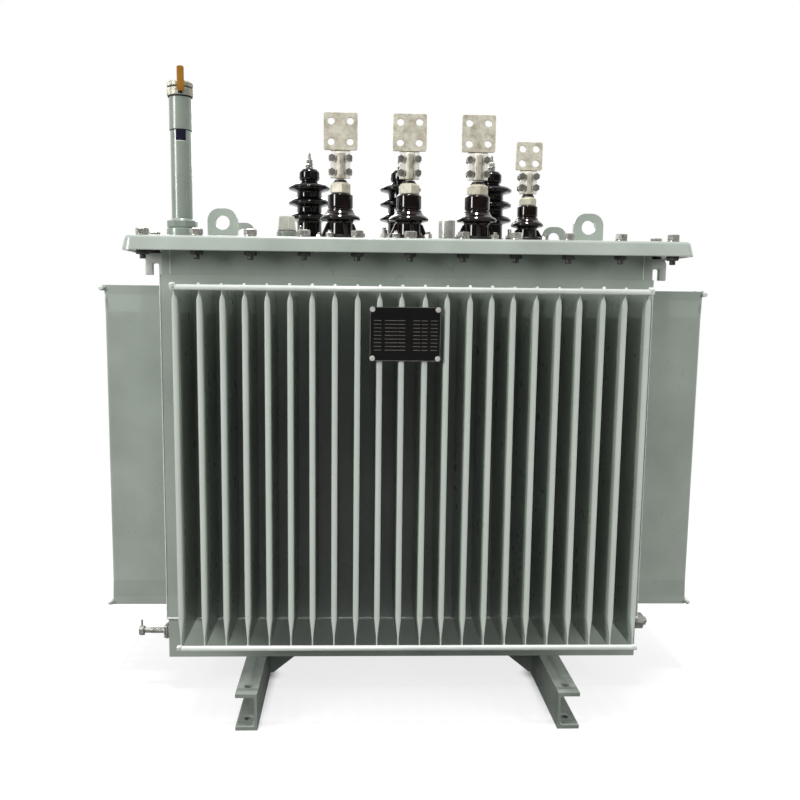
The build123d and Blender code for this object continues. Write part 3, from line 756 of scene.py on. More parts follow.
class Recipe:
    """Geometry Nodes tree with named inputs, run once and kept as a plain mesh."""

    def __init__(self, name: str) -> None:
        """Start an empty tree.

        Args:
            name: name of the tree.
        """
        self.tree = bpy.data.node_groups.new(name, "GeometryNodeTree")
        self.tree.interface.new_socket("Geometry", in_out="INPUT", socket_type="NodeSocketGeometry")
        self.tree.interface.new_socket("Geometry", in_out="OUTPUT", socket_type="NodeSocketGeometry")
        self.entry = self.tree.nodes.new("NodeGroupInput")
        self.exit = self.tree.nodes.new("NodeGroupOutput")

    def ask(self, name: str, kind: str) -> bpy.types.NodeSocket:
        """Add a named input.

        Args:
            name: name of the input.
            kind: Float, Int, Vector, Object or Material.

        Returns:
            The socket that carries its value.
        """
        self.tree.interface.new_socket(name, in_out="INPUT", socket_type="NodeSocket" + kind)
        return self.entry.outputs[name]

    def node(self, kind: str, inputs: dict[str, object] | None = None,
             **settings: object) -> bpy.types.Node:
        """Add a node, set its properties and fill its inputs.

        Args:
            kind: type name of the node, without its prefix for geometry nodes.
            inputs: sockets or constants by input name.
            settings: properties to set on it.

        Returns:
            The new node.
        """
        made = self.tree.nodes.new(kind)
        for key, value in settings.items():
            setattr(made, key, value)
        for key, value in (inputs or {}).items():
            target = made.inputs[key]
            if isinstance(value, bpy.types.NodeSocket):
                self.tree.links.new(value, target)
            else:
                target.default_value = value
        return made

    def close(self, geometry: bpy.types.NodeSocket) -> None:
        """Realize the instances, set the material and end the tree."""
        material = self.ask("Material", "Material")
        real = self.node("GeometryNodeRealizeInstances", {"Geometry": geometry})
        dressed = self.node("GeometryNodeSetMaterial",
                            {"Geometry": real.outputs[0], "Material": material})
        self.tree.links.new(dressed.outputs[0], self.exit.inputs[0])

    def run(self, name: str, base: bpy.types.Mesh, finish: Finish,
            values: dict[str, object], angle: float = SHARP_ANGLE) -> bpy.types.Object:
        """Run the tree on a mesh and keep the result as a plain object.

        Args:
            name: name of the finished object.
            base: mesh that enters the tree.
            finish: finish whose material the tree sets.
            values: values of the named inputs.
            angle: edges that turn by more degrees than this stay sharp.

        Returns:
            An object whose mesh is the evaluated result.
        """
        worker = bpy.data.objects.new(name + "_work", base)
        bpy.context.scene.collection.objects.link(worker)
        modifier = worker.modifiers.new("recipe", "NODES")
        modifier.node_group = self.tree
        given = dict(values, Material=finish.material())
        for item in self.tree.interface.items_tree:
            if item.in_out == "INPUT" and item.name in given:
                modifier[item.identifier] = given[item.name]
        shown = worker.evaluated_get(bpy.context.evaluated_depsgraph_get())
        mesh = bpy.data.meshes.new_from_object(shown)
        bpy.data.objects.remove(worker)
        mesh.name = name
        mesh.shade_smooth()
        mesh.set_sharp_from_angle(angle=math.radians(angle))
        made = bpy.data.objects.new(name, mesh)
        bpy.context.scene.collection.objects.link(made)
        return made


def copies_recipe() -> Recipe:
    """Tree that puts a prototype on every vertex, turned and sized at random within limits."""
    recipe = Recipe("copies_on_points")
    prototype = recipe.ask("Prototype", "Object")
    turn = recipe.ask("Turn", "Float")
    lean = recipe.ask("Lean", "Float")
    vary = recipe.ask("Vary", "Float")
    seed = recipe.ask("Seed", "Int")
    info = recipe.node("GeometryNodeObjectInfo", {"Object": prototype, "As Instance": True})
    half = recipe.node("ShaderNodeMath", {0: lean, 1: -1.0}, operation="MULTIPLY")
    low = recipe.node("ShaderNodeCombineXYZ", {"X": half.outputs[0], "Y": half.outputs[0], "Z": 0.0})
    high = recipe.node("ShaderNodeCombineXYZ", {"X": lean, "Y": lean, "Z": turn})
    angles = recipe.node("FunctionNodeRandomValue", {"Min": low.outputs[0], "Max": high.outputs[0],
                                                     "Seed": seed}, data_type="FLOAT_VECTOR")
    least = recipe.node("ShaderNodeMath", {0: 1.0, 1: vary}, operation="SUBTRACT")
    most = recipe.node("ShaderNodeMath", {0: 1.0, 1: vary}, operation="ADD")
    scale = recipe.tree.nodes.new("FunctionNodeRandomValue")
    scale.data_type = "FLOAT"
    recipe.tree.links.new(least.outputs[0], scale.inputs[2])
    recipe.tree.links.new(most.outputs[0], scale.inputs[3])
    recipe.tree.links.new(seed, scale.inputs["Seed"])
    euler = recipe.node("FunctionNodeEulerToRotation", {0: angles.outputs[0]})
    placed = recipe.node("GeometryNodeInstanceOnPoints",
                         {"Points": recipe.entry.outputs["Geometry"],
                          "Instance": info.outputs["Geometry"], "Rotation": euler.outputs[0],
                          "Scale": scale.outputs[1]})
    recipe.close(placed.outputs[0])
    return recipe


def bead_recipe() -> Recipe:
    """Tree that runs a rippled weld bead along the edges of a mesh."""
    recipe = Recipe("weld_bead")
    radius = recipe.ask("Radius", "Float")
    step = recipe.ask("Step", "Float")
    ripple = recipe.ask("Ripple", "Float")
    grain = recipe.ask("Grain", "Float")
    line = recipe.node("GeometryNodeMeshToCurve", {"Mesh": recipe.entry.outputs["Geometry"]})
    even = recipe.node("GeometryNodeResampleCurve", {"Curve": line.outputs[0], "Length": step},
                       mode="LENGTH")
    noise = recipe.node("ShaderNodeTexNoise", {"Scale": grain, "Detail": 1.0})
    swell = recipe.node("ShaderNodeMapRange", {"Value": noise.outputs[0], "From Min": 0.25,
                                               "From Max": 0.75, "To Max": 1.0})
    least = recipe.node("ShaderNodeMath", {0: 1.0, 1: ripple}, operation="SUBTRACT")
    recipe.tree.links.new(least.outputs[0], swell.inputs["To Min"])
    size = recipe.node("ShaderNodeMath", {0: swell.outputs[0], 1: radius}, operation="MULTIPLY")
    sized = recipe.node("GeometryNodeSetCurveRadius", {"Curve": even.outputs[0],
                                                       "Radius": size.outputs[0]})
    circle = recipe.node("GeometryNodeCurvePrimitiveCircle", {"Resolution": 7, "Radius": 1.0})
    skin = recipe.node("GeometryNodeCurveToMesh", {"Curve": sized.outputs[0],
                                                   "Profile Curve": circle.outputs[0],
                                                   "Fill Caps": True})
    found = recipe.node("GeometryNodeInputRadius")
    recipe.tree.links.new(found.outputs[0], skin.inputs["Scale"])
    recipe.close(skin.outputs[0])
    return recipe


def ring_recipe() -> Recipe:
    """Tree that sets a prototype at equal steps round a vertical axis."""
    recipe = Recipe("ring_of_copies")
    prototype = recipe.ask("Prototype", "Object")
    count = recipe.ask("Count", "Int")
    radius = recipe.ask("Radius", "Float")
    centre = recipe.ask("Centre", "Vector")
    first = recipe.ask("Turn", "Float")
    info = recipe.node("GeometryNodeObjectInfo", {"Object": prototype, "As Instance": True})
    circle = recipe.node("GeometryNodeMeshCircle", {"Vertices": count, "Radius": radius})
    index = recipe.node("GeometryNodeInputIndex")
    share = recipe.node("ShaderNodeMath", {0: index.outputs[0], 1: count}, operation="DIVIDE")
    turn = recipe.node("ShaderNodeMath", {0: share.outputs[0], 1: math.tau}, operation="MULTIPLY")
    spin = recipe.node("ShaderNodeCombineXYZ", {"Z": turn.outputs[0]})
    euler = recipe.node("FunctionNodeEulerToRotation", {0: spin.outputs[0]})
    placed = recipe.node("GeometryNodeInstanceOnPoints",
                         {"Points": circle.outputs[0], "Instance": info.outputs["Geometry"],
                          "Rotation": euler.outputs[0]})
    whole = recipe.node("ShaderNodeCombineXYZ", {"Z": first})
    start = recipe.node("FunctionNodeEulerToRotation", {0: whole.outputs[0]})
    moved = recipe.node("GeometryNodeTransform", {"Geometry": placed.outputs[0],
                                                  "Translation": centre,
                                                  "Rotation": start.outputs[0]})
    recipe.close(moved.outputs[0])
    return recipe


class Repeats:
    """The trees that every sub-assembly shares, built once."""

    bead_step = 0.004
    bead_grain = 120.0
    bead_angle = 60.0
    on_axis = 0.01 * MM

    def __init__(self) -> None:
        """Build the trees."""
        self.copies = copies_recipe()
        self.bead = bead_recipe()
        self.ring = ring_recipe()

    @staticmethod
    def points(places: Iterable[Point]) -> bpy.types.Mesh:
        """Mesh of single vertices, one at each place."""
        mesh = bpy.data.meshes.new("places")
        mesh.from_pydata([tuple(place) for place in places], [], [])
        return mesh

    def scatter(self, name: str, shape: Shape, places: Sequence[Point], finish: Finish,
                turn: float = 0.0, lean: float = 0.0, vary: float = 0.0, seed: int = 1,
                angle: float = SHARP_ANGLE) -> bpy.types.Object:
        """Copy one shape to many places.

        Args:
            name: name of the finished piece.
            shape: shape to copy, built at the origin.
            places: where the copies go.
            finish: finish that covers them.
            turn: most that a copy is turned about the vertical, in degrees.
            lean: most that a copy leans, in degrees.
            vary: share by which the copies differ in size.
            seed: seed of the random values.
            angle: edges that turn by more degrees than this stay sharp.

        Returns:
            The finished piece, not yet riding.
        """
        model = shape.done("prototype", angle)
        values = {"Prototype": model, "Turn": math.radians(turn), "Lean": math.radians(lean),
                  "Vary": vary, "Seed": seed}
        made = self.copies.run(name, self.points(places), finish, values, angle)
        bpy.data.objects.remove(model)
        return made

    def weld(self, name: str, lines: Sequence[Sequence[Point]], radius: float, finish: Finish,
             ripple: float) -> bpy.types.Object:
        """Run weld beads along lines.

        Args:
            name: name of the finished piece.
            lines: points of each bead.
            radius: radius of the bead at its fullest.
            finish: finish that covers it.
            ripple: share of the radius that comes and goes.

        Returns:
            The finished piece, not yet riding.
        """
        vertices: list[Point] = []
        edges: list[tuple[int, int]] = []
        for line in lines:
            start = len(vertices)
            vertices += [tuple(point) for point in line]
            edges += [(start + index, start + index + 1) for index in range(len(line) - 1)]
        mesh = bpy.data.meshes.new("weld_lines")
        mesh.from_pydata(vertices, edges, [])
        values = {"Radius": radius, "Step": self.bead_step, "Ripple": ripple,
                  "Grain": self.bead_grain}
        return self.bead.run(name, mesh, finish, values, self.bead_angle)

    def ring_of(self, name: str, shape: Shape, count: int, radius: float, centre: Point,
                finish: Finish, turn: float = 0.0) -> bpy.types.Object:
        """Set copies of a shape round a vertical axis.

        Args:
            name: name of the finished piece.
            shape: shape to copy, which faces along +X from the origin.
            count: number of copies.
            radius: distance of the copies from the axis.
            centre: point on the axis.
            finish: finish that covers them.
            turn: turn of the first copy about the axis, in degrees.

        Returns:
            The finished piece, not yet riding.
        """
        model = shape.done("prototype")
        values = {"Prototype": model, "Count": count, "Radius": radius, "Centre": centre,
                  "Turn": math.radians(turn)}
        made = self.ring.run(name, self.points([(0, 0, 0)]), finish, values)
        bpy.data.objects.remove(model)
        return made


def joined(name: str, parts: Sequence[bpy.types.Object]) -> bpy.types.Object:
    """Join finished objects into one.

    Args:
        name: name of the joined object.
        parts: objects to join, which are used up.

    Returns:
        The joined object.
    """
    work = bmesh.new()
    for part in parts:
        work.from_mesh(part.data)
        bpy.data.objects.remove(part)
    return as_object(name, work)


# Sub-assemblies


@dataclass
class TankShell:
    """Painted plates of the tank, its lid, feet, hooks and lifting lugs."""

    plain: tuple[str, ...] = ("tank_floor", "base_frame", "front_wall", "back_wall", "left_wall",
                              "right_wall", "tank_flange", "foot_gussets")
    lugs: tuple[str, ...] = ("lug_front_left", "lug_front_right", "lug_back_left", "lug_back_right")
    feet: tuple[str, ...] = ("left_foot", "right_foot")
    hook_leg: float = 12 * MM
    hook_lip: float = 17 * MM
    hook_extra: float = 4 * MM
    hook_crest: float = 23 * MM
    hook_plate: float = 12 * MM

    def build(self) -> None:
        """Paint the plates that stay, and stand smooth copies in for the rounded ones."""
        for node in self.plain:
            dress_node(node, TANK_ENAMEL)
        dress_node("lid_gasket", BLACK_RUBBER)
        refined("lid", LID_ENAMEL)
        for node in self.lugs:
            refined(node, TANK_ENAMEL)
        for node in self.feet:
            refined(node, FOOT_SHADE_ENAMEL)
        self.build_hooks("left_hooks", -1)
        self.build_hooks("right_hooks", 1)

    def build_hooks(self, node: str, side: int) -> None:
        """Build the two bent hooks of one end wall.

        Args:
            node: packed hooks that they stand for.
            side: -1 for the left wall, 1 for the right one.
        """
        low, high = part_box(node)
        root = low.x if side > 0 else high.x
        reach, rise = high.x - low.x + self.hook_extra, high.z - low.z
        under, lip = rise - self.hook_crest, reach - self.hook_lip
        points = [(0, rise, 0), (0, 0, 0), (self.hook_leg, 0, 2 * MM), (self.hook_leg, under, 4 * MM),
                  (lip, under, 4 * MM), (lip, 0, 2.5 * MM), (reach, 0, 2.5 * MM), (reach, rise, 15 * MM)]
        loop = rounded([(side * x, z, corner) for x, z, corner in points], 6, True)
        shape = Shape()
        for y in (low.y + self.hook_plate / 2, high.y - self.hook_plate / 2):
            shape.plate([loop], self.hook_plate, facing(root, y, low.z, "-Y"), 2 * MM)
        settle(shape.done(node + "_bent"), HOOK_ENAMEL, node)


@dataclass
class FinBanks:
    """Cooling fins of all four walls, made by one rule and set out in rows."""

    pitch: float = 45 * MM
    thickness: float = 12 * MM
    crown: float = 4 * MM
    seam: float = 3 * MM
    seam_height: float = 19.5 * MM
    taper_height: float = 41.5 * MM
    bend: float = 0.06
    flare: float = 1.5 * MM
    crown_steps: int = 12
    crease: float = 1.5 * MM
    lean: float = 0.10
    sharp: float = 20.0
    fold_rate: float = 6.0
    fold_levels: tuple[float, ...] = (0.12, 0.2, 0.3, 0.45, 0.7)

    def section(self, depth: float, share: float, fold: float, height: float) -> list[Point]:
        """One level of a fin that points along -Y.

        Args:
            depth: reach of the fin from the wall.
            share: how open the fin is, from its seam at 0 to full at 1.
            fold: how open its front fold is, likewise.
            height: height of the level.

        Returns:
            The ring of points of the level.
        """
        half = (self.seam + (self.thickness - self.seam) * share) / 2
        wide = (self.seam + (self.thickness - self.seam) * fold) / 2
        crown = self.seam / 2 + (self.crown - self.seam / 2) * fold
        nose = depth - self.flare * share - crown
        inner = nose - self.crown
        ring = [(half, 0.0, height), (half, self.crown - inner, height), (half, -inner, height),
                (wide, -nose, height)]
        for step in range(1, self.crown_steps):
            turn = math.pi * step / self.crown_steps
            ring.append((wide * math.cos(turn), -nose - crown * math.sin(turn), height))
        return ring + [(-wide, -nose, height), (-half, -inner, height),
                       (-half, self.crown - inner, height), (-half, 0.0, height)]

    def rises(self, parts: Sequence[float]) -> list[tuple[float, float]]:
        """Levels of a fin's end: distance from the end, and how open the fin is there.

        Args:
            parts: shares of the tapered stretch that get a level.

        Returns:
            Distance and opening of each level, from the end inwards.
        """
        found = [(0.0, 0.0), (self.seam_height - self.crease, 0.0), (self.seam_height, 0.0)]
        slope = (1 - self.bend) / (1 - 2 * self.bend)
        for part in (self.bend, *parts, 1 - self.bend):
            found.append((self.seam_height + part * self.taper_height,
                          self.bend / 2 + (part - self.bend) * slope))
        end = self.seam_height + self.taper_height
        return found + [(end, 1.0), (end + self.crease, 1.0)]

    def blade(self, depth: float, bottom: float, top: float, turn: float) -> Shape:
        """One fin at the origin.

        Args:
            depth: reach of the fin from the wall.
            bottom: height of its lower end.
            top: height of its upper end.
            turn: turn about the vertical, in degrees.

        Returns:
            The fin's shape.
        """
        rings = [self.section(depth, share, share, bottom + rise) for rise, share in self.rises(())]
        for rise, share in reversed(self.rises(self.fold_levels)):
            fold = 1 - (1 - share) ** self.fold_rate
            rings.append(self.section(depth, share, fold, top - rise))
        return Shape().skin(rings, Matrix.Rotation(math.radians(turn), 4, "Z"))

    def places(self, node: str) -> list[Point]:
        """Feet of a bank's fins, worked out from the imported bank's box.

        Args:
            node: packed bank of fins.

        Returns:
            One place on the wall for each fin, from one end to the other.
        """
        low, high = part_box(node)
        along, across = (0, 1) if node in ("front_fins", "back_fins") else (1, 0)
        wall = high[across] if node in ("front_fins", "left_fins") else low[across]
        last = ((high - low)[along] - self.thickness) / 2
        count = int(2 * last / self.pitch + 0.3) + 1
        steps = [(number - (count - 1) / 2) * self.pitch for number in range(1, count - 1)]
        found = []
        for step in (-last, *steps, last):
            spot = [0.0, 0.0, 0.0]
            spot[along], spot[across] = (low[along] + high[along]) / 2 + step, wall
            found.append(tuple(spot))
        return found

    def build(self, repeats: Repeats) -> None:
        """Build the four banks and the rods across them."""
        turns = {"front_fins": 0, "back_fins": 180, "left_fins": -90, "right_fins": 90}
        for seed, (node, turn) in enumerate(turns.items(), 3):
            low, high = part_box(node)
            depth = min(high.x - low.x, high.y - low.y)
            blade = self.blade(depth, low.z, high.z, turn)
            finish = SHORT_FINS if abs(turn) == 90 else LONG_FINS
            bank = repeats.scatter(node.replace("fins", "fin_bank"), blade, self.places(node),
                                   finish, lean=self.lean, seed=seed, angle=self.sharp)
            settle(bank, finish, node)
        refined("fin_rods", PAINTED_HIGHLIGHT_ENAMEL)


@dataclass
class LidFasteners:
    """Bolts round the lid, with washers, nuts and bolt ends below the flange."""

    offset_x: float = 26.5 * MM
    offset_y: float = 36 * MM
    long_count: int = 11
    short_count: int = 6
    width: float = 24 * MM
    head_height: float = 12 * MM
    nut_height: float = 11 * MM
    washer_radius: float = 13 * MM
    washer_height: float = 3 * MM
    shank_radius: float = 6.5 * MM
    tail: float = 9 * MM
    chamfer: float = 1.4 * MM
    turn: float = 22.0

    def places(self) -> list[tuple[float, float]]:
        """Centres of the bolts, worked out from the tank's walls."""
        low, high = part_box("front_wall")
        line_x = high.x + self.offset_x
        line_y = -low.y + self.offset_y
        found = []
        for number in range(self.long_count):
            x = -line_x + number * 2 * line_x / (self.long_count - 1)
            found += [(x, -line_y), (x, line_y)]
        for number in range(1, self.short_count - 1):
            y = -line_y + number * 2 * line_y / (self.short_count - 1)
            found += [(-line_x, y), (line_x, y)]
        return found

    def washer(self) -> list[tuple[float, float]]:
        """Outline of a washer that stands on the origin."""
        return drum(self.washer_radius, 0, self.washer_height, 0.4 * MM, 0.6 * MM)

    def build(self, repeats: Repeats) -> None:
        """Build the bolt heads above the lid and the nuts below the flange."""
        top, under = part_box("lid")[1].z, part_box("tank_flange")[0].z
        head = Shape().turned(self.washer(), segments=24)
        head.prism(self.width, self.head_height, at(0, 0, self.washer_height), self.chamfer)
        down = facing(0, 0, 0, "-Z")
        depth = self.washer_height + self.nut_height
        end = drum(self.shank_radius, depth, depth + self.tail, 0, 1.5 * MM)
        nut = Shape().turned(self.washer(), down, 24).turned(end, down, 16)
        nut.prism(self.width, self.nut_height, down @ at(0, 0, self.washer_height), self.chamfer)
        for name, shape, height, finish, seed in (("lid_bolt_heads", head, top, ZINC, 11),
                                                  ("lid_bolt_nuts", nut, under, NUT_STEEL, 12)):
            places = [(x, y, height) for x, y in self.places()]
            settle(repeats.scatter(name, shape, places, finish, turn=self.turn, seed=seed), finish)


@dataclass
class Seams:
    """Weld beads of the tank, its lugs and hooks, and the tacks between its fins and rods."""

    bead: float = 3.5 * MM
    fine: float = 1.7 * MM
    tack: float = 2.8 * MM
    lump: float = 1.85
    ripple: float = 0.45
    even_ripple: float = 0.2
    end_reach: float = 3.5 * MM
    set_back: float = 4 * MM
    seam_inset: float = 22 * MM

    def tank_lines(self) -> list[list[Point]]:
        """Lines round the tank: on the base frame and under the flange."""
        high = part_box("base_frame")[1]
        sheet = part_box("front_wall")
        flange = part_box("tank_flange")[0].z
        x, y = sheet[1].x, -sheet[0].y
        lines = []
        for a, b, height in ((x, y, high.z), (x - self.set_back, y - self.set_back, flange)):
            lines.append([(-a, -b, height), (a, -b, height), (a, b, height), (-a, b, height),
                          (-a, -b, height)])
        return lines

    def sheet_lines(self) -> list[list[Point]]:
        """Lines along the upper edges of the front and back sheets, on the set-back band."""
        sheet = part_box("front_wall")
        x, y = sheet[1].x - self.seam_inset, -sheet[0].y - self.set_back
        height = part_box("front_fins")[1].z + self.seam_inset
        return [[(-x, side * y, height), (x, side * y, height)] for side in (-1, 1)]

    def corner_lines(self) -> list[list[Point]]:
        """Upright lines at the tank's corners and on its set-back band."""
        bottom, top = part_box("base_frame")[1].z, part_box("tank_flange")[0].z
        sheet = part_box("front_wall")
        x, y = sheet[1].x, -sheet[0].y
        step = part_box("front_fins")[1].z + self.seam_inset
        lines = []
        for a in (-x, x):
            for b in (-y, y):
                lines.append([(a, b, bottom), (a, b, step)])
                inner = a - math.copysign(self.seam_inset, a)
                band = b - math.copysign(self.set_back, b)
                lines.append([(inner, band, step), (inner, band, top)])
        return lines

    def foot_lines(self, nodes: Sequence[str]) -> list[list[Point]]:
        """Lines round the foot of each upright plate that stands on another."""
        lines = []
        for node in nodes:
            low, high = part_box(node)
            lines.append([(low.x, low.y, low.z), (high.x, low.y, low.z), (high.x, high.y, low.z),
                          (low.x, high.y, low.z), (low.x, low.y, low.z)])
        return lines

    def hook_lines(self) -> list[list[Point]]:
        """Upright lines on both faces of each hook, where it meets the end wall."""
        lines = []
        for node, side in (("left_hooks", 1), ("right_hooks", 0)):
            low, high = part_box(node)
            root = high.x if side else low.x
            for y in (low.y, low.y + TankShell.hook_plate, high.y - TankShell.hook_plate, high.y):
                lines.append([(root, y, low.z), (root, y, high.z)])
        return lines

    def tacks(self, banks: FinBanks) -> list[Point]:
        """Places of the weld tacks between each fin's edge and the rods."""
        found = []
        for node, axis, sign in (("front_fins", 1, -1), ("back_fins", 1, 1), ("left_fins", 0, -1),
                                 ("right_fins", 0, 1)):
            low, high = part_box(node)
            edge = low[axis] if sign < 0 else high[axis]
            for place in banks.places(node):
                for height in (low.z + 3 * MM, high.z - 1 * MM):
                    spot = list(place)
                    spot[axis], spot[2] = edge + sign * 2 * MM, height
                    found.append(tuple(spot))
        return found

    def rod_ends(self) -> list[Point]:
        """Places of the larger welds at the ends of the front and back rods."""
        low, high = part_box("fin_rods")
        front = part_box("front_fins")
        reach = self.end_reach
        found = []
        for x in (front[0].x + reach, front[1].x - reach):
            for y in (low.y + reach, high.y - reach):
                found += [(x, y, front[0].z + reach), (x, y, front[1].z - reach)]
        return found

    def build(self, repeats: Repeats, banks: FinBanks) -> None:
        """Build every bead and tack."""
        for name, lines, radius, finish, ripple in (
                ("tank_seams", self.tank_lines(), self.bead, PAINTED_HIGHLIGHT_ENAMEL, self.ripple),
                ("corner_seams", self.corner_lines(), self.fine, PAINTED_HIGHLIGHT_ENAMEL, self.ripple),
                ("sheet_seams", self.sheet_lines(), self.fine, TANK_ENAMEL, self.even_ripple),
                ("lug_welds", self.foot_lines(TankShell.lugs), self.bead, TANK_ENAMEL, self.ripple),
                ("hook_welds", self.hook_lines(), self.fine, TANK_ENAMEL, self.ripple)):
            settle(repeats.weld(name, lines, radius, finish, ripple), finish)
        outline = rounded([(0, -1, 0), (1, -1, 0.9), (1, 1, 0.9), (0, 1, 0)], 3)
        for name, size, segments, places, lean, vary, seed in (
                ("fin_tacks", self.tack, 10, self.tacks(banks), 25.0, 0.3, 21),
                ("rod_end_welds", self.lump * self.tack, 14, self.rod_ends(), 20.0, 0.15, 22)):
            drop = Shape().turned(outline, Matrix.Scale(size, 4), segments)
            settle(repeats.scatter(name, drop, places, PAINTED_HIGHLIGHT_ENAMEL, turn=90.0, lean=lean, vary=vary,
                                   seed=seed, angle=70.0), PAINTED_HIGHLIGHT_ENAMEL)


Outline = tuple[tuple[float, float, float], ...]

HIGH_OUTLINE: Outline = (
    (0, -26, 0), (28, -26, 1), (28, 0, 0.5), (40, 0, 0.5), (40, 12, 2), (34, 13, 1), (31.5, 22, 3),
    (31, 62, 6), (32, 66, 2), (51, 71, 3), (53, 77, 2), (47, 83, 8), (32, 88, 4),
    (31, 99, 6), (32, 103, 2), (51, 108, 3), (53, 114, 2), (47, 120, 8), (32, 125, 4),
    (31, 136, 6), (32, 140, 2), (51, 145, 3), (53, 151, 2), (46, 157, 8), (25, 163, 4),
    (21, 165, 2), (21, 168, 1), (24, 169, 3), (26, 175, 7), (26, 189, 7), (19, 197, 4), (0, 197, 0))
PHASE_OUTLINE: Outline = (
    (0, -26, 0), (26, -26, 1), (26, 0, 0.5), (38, 0, 0.5), (38, 12, 2), (30, 13, 1), (29, 22, 4),
    (28, 42, 5), (30, 46, 2), (44, 49.5, 2.5), (46, 54, 2), (42, 58.5, 4), (35, 63, 5), (30, 69, 3),
    (29.5, 73, 1.5), (26, 74, 0.6), (26, 75.5, 0.6), (28, 76.5, 1), (28.5, 80, 2), (28.5, 105, 3),
    (24.5, 109, 2), (0, 109, 0))
NEUTRAL_OUTLINE: Outline = (
    (0, -26, 0), (21, -26, 1), (21, 0, 0.5), (33, 0, 0.5), (33, 12, 2), (25, 13, 1), (23, 20, 4),
    (22, 34, 4), (24, 38, 2), (36, 41, 2.2), (37.5, 45, 2), (34, 49, 4), (28, 53, 4), (24.5, 57.5, 2),
    (24, 60.5, 1.2), (21, 61.5, 0.5), (21, 62.7, 0.5), (22.5, 63.5, 1), (23, 66.5, 2), (23, 85, 3),
    (19.5, 88, 2), (0, 88, 0))


@dataclass
class Bushing:
    """Porcelain of one bushing, turned from its own outline of radius and height."""

    node: str
    outline: Outline
    glaze: Glaze = PORCELAIN
    segments: int = 72

    def build(self) -> None:
        """Build the porcelain on the lid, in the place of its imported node."""
        centre = middle(self.node)
        points = [(radius * MM, height * MM, rounding * MM) for radius, height, rounding in self.outline]
        body = Shape().turned(rounded(points, 5), at(centre.x, centre.y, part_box("lid")[1].z),
                              self.segments)
        settle(body.done(self.node + "_glazed", 50.0), self.glaze, self.node)


@dataclass
class ClampSet:
    """Cast arms round a bushing's foot, and the studs and nuts that press its ring down."""

    node: str
    base: float
    neck: float
    reach: float
    arm_height: float
    stud_height: float
    turn: float
    count: int = 4
    arm_width: float = 8 * MM
    ring_height: float = 17 * MM
    stud_radius: float = 5 * MM
    seat: float = 25 * MM
    nut_width: float = 19 * MM
    nut_height: float = 9 * MM

    def arm(self) -> Shape:
        """One arm, which leans against the bushing and stands on the lid, facing +X."""
        points = [(self.reach - 7 * MM, 0, 1), (self.reach + 3 * MM, 0, 1),
                  (self.reach + 3 * MM, 9 * MM, 3), (self.neck + 5 * MM, self.arm_height - 3 * MM, 2),
                  (self.neck + 1 * MM, self.arm_height, 1.5),
                  (self.neck - 2 * MM, self.arm_height - 4 * MM, 1), (self.reach - 9 * MM, 11 * MM, 3)]
        loop = rounded([(x, y, corner * MM) for x, y, corner in points], 3, True)
        return Shape().plate([loop], self.arm_width, Matrix.Rotation(math.pi / 2, 4, "X"), 0.8 * MM)

    def claw(self) -> Shape:
        """Claw that bears on the ring and on its own foot on the lid, under a nut."""
        height = self.ring_height
        half = 12 * MM
        loop = rounded([(-half - 4 * MM, height, 1.5 * MM), (half - 2 * MM, height, 1.5 * MM),
                        (half - 2 * MM, 0, 1 * MM), (half + 4 * MM, 0, 1 * MM),
                        (half + 4 * MM, height + 4 * MM, 3 * MM), (0, height + 8 * MM, 4 * MM),
                        (-half - 4 * MM, height + 5 * MM, 2 * MM)], 3, True)
        return Shape().plate([loop], 16 * MM, Matrix.Rotation(math.pi / 2, 4, "X"), 0.8 * MM)

    def ear(self) -> Shape:
        """Flat ear of a low clamp, round at its outer end."""
        loop = rounded([(-16 * MM, -10 * MM, 1 * MM), (9 * MM, -10 * MM, 8 * MM),
                        (9 * MM, 10 * MM, 8 * MM), (-16 * MM, 10 * MM, 1 * MM)], 6, True)
        return Shape().plate([loop], self.seat, at(0, 0, self.seat / 2), 0.8 * MM)

    def stud(self) -> Shape:
        """Stud with its nut and washer, at the origin."""
        seat = self.seat
        shape = Shape().turned([(0, 0)] + thread(self.stud_radius, 0, self.stud_height)
                               + [(0, self.stud_height)], segments=16)
        shape.turned(drum(9 * MM, seat, seat + 2 * MM), segments=20)
        return shape.prism(self.nut_width, self.nut_height, at(0, 0, seat + 2 * MM), 1 * MM)

    def build(self, repeats: Repeats) -> tuple[list[bpy.types.Object], list[bpy.types.Object]]:
        """Build the arms, claws and studs of this bushing.

        Args:
            repeats: shared trees.

        Returns:
            The cast pieces and the zinc-plated pieces, not yet riding.
        """
        centre = middle(self.node)
        place = (centre.x, centre.y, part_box("lid")[1].z)
        cast, plated = [], []
        if self.arm_height:
            cast.append(repeats.ring_of("arms", self.arm(), self.count, repeats.on_axis, place,
                                        CLAMP_IRON, self.turn))
        half = 180.0 / self.count
        line = self.base + 15 * MM
        bearer = self.ear() if self.arm_height else self.claw()
        cast.append(repeats.ring_of("claws", bearer, self.count, line, place, CLAMP_IRON,
                                    self.turn + half))
        plated.append(repeats.ring_of("studs", self.stud(), self.count, line, place, ZINC,
                                      self.turn + half))
        return cast, plated


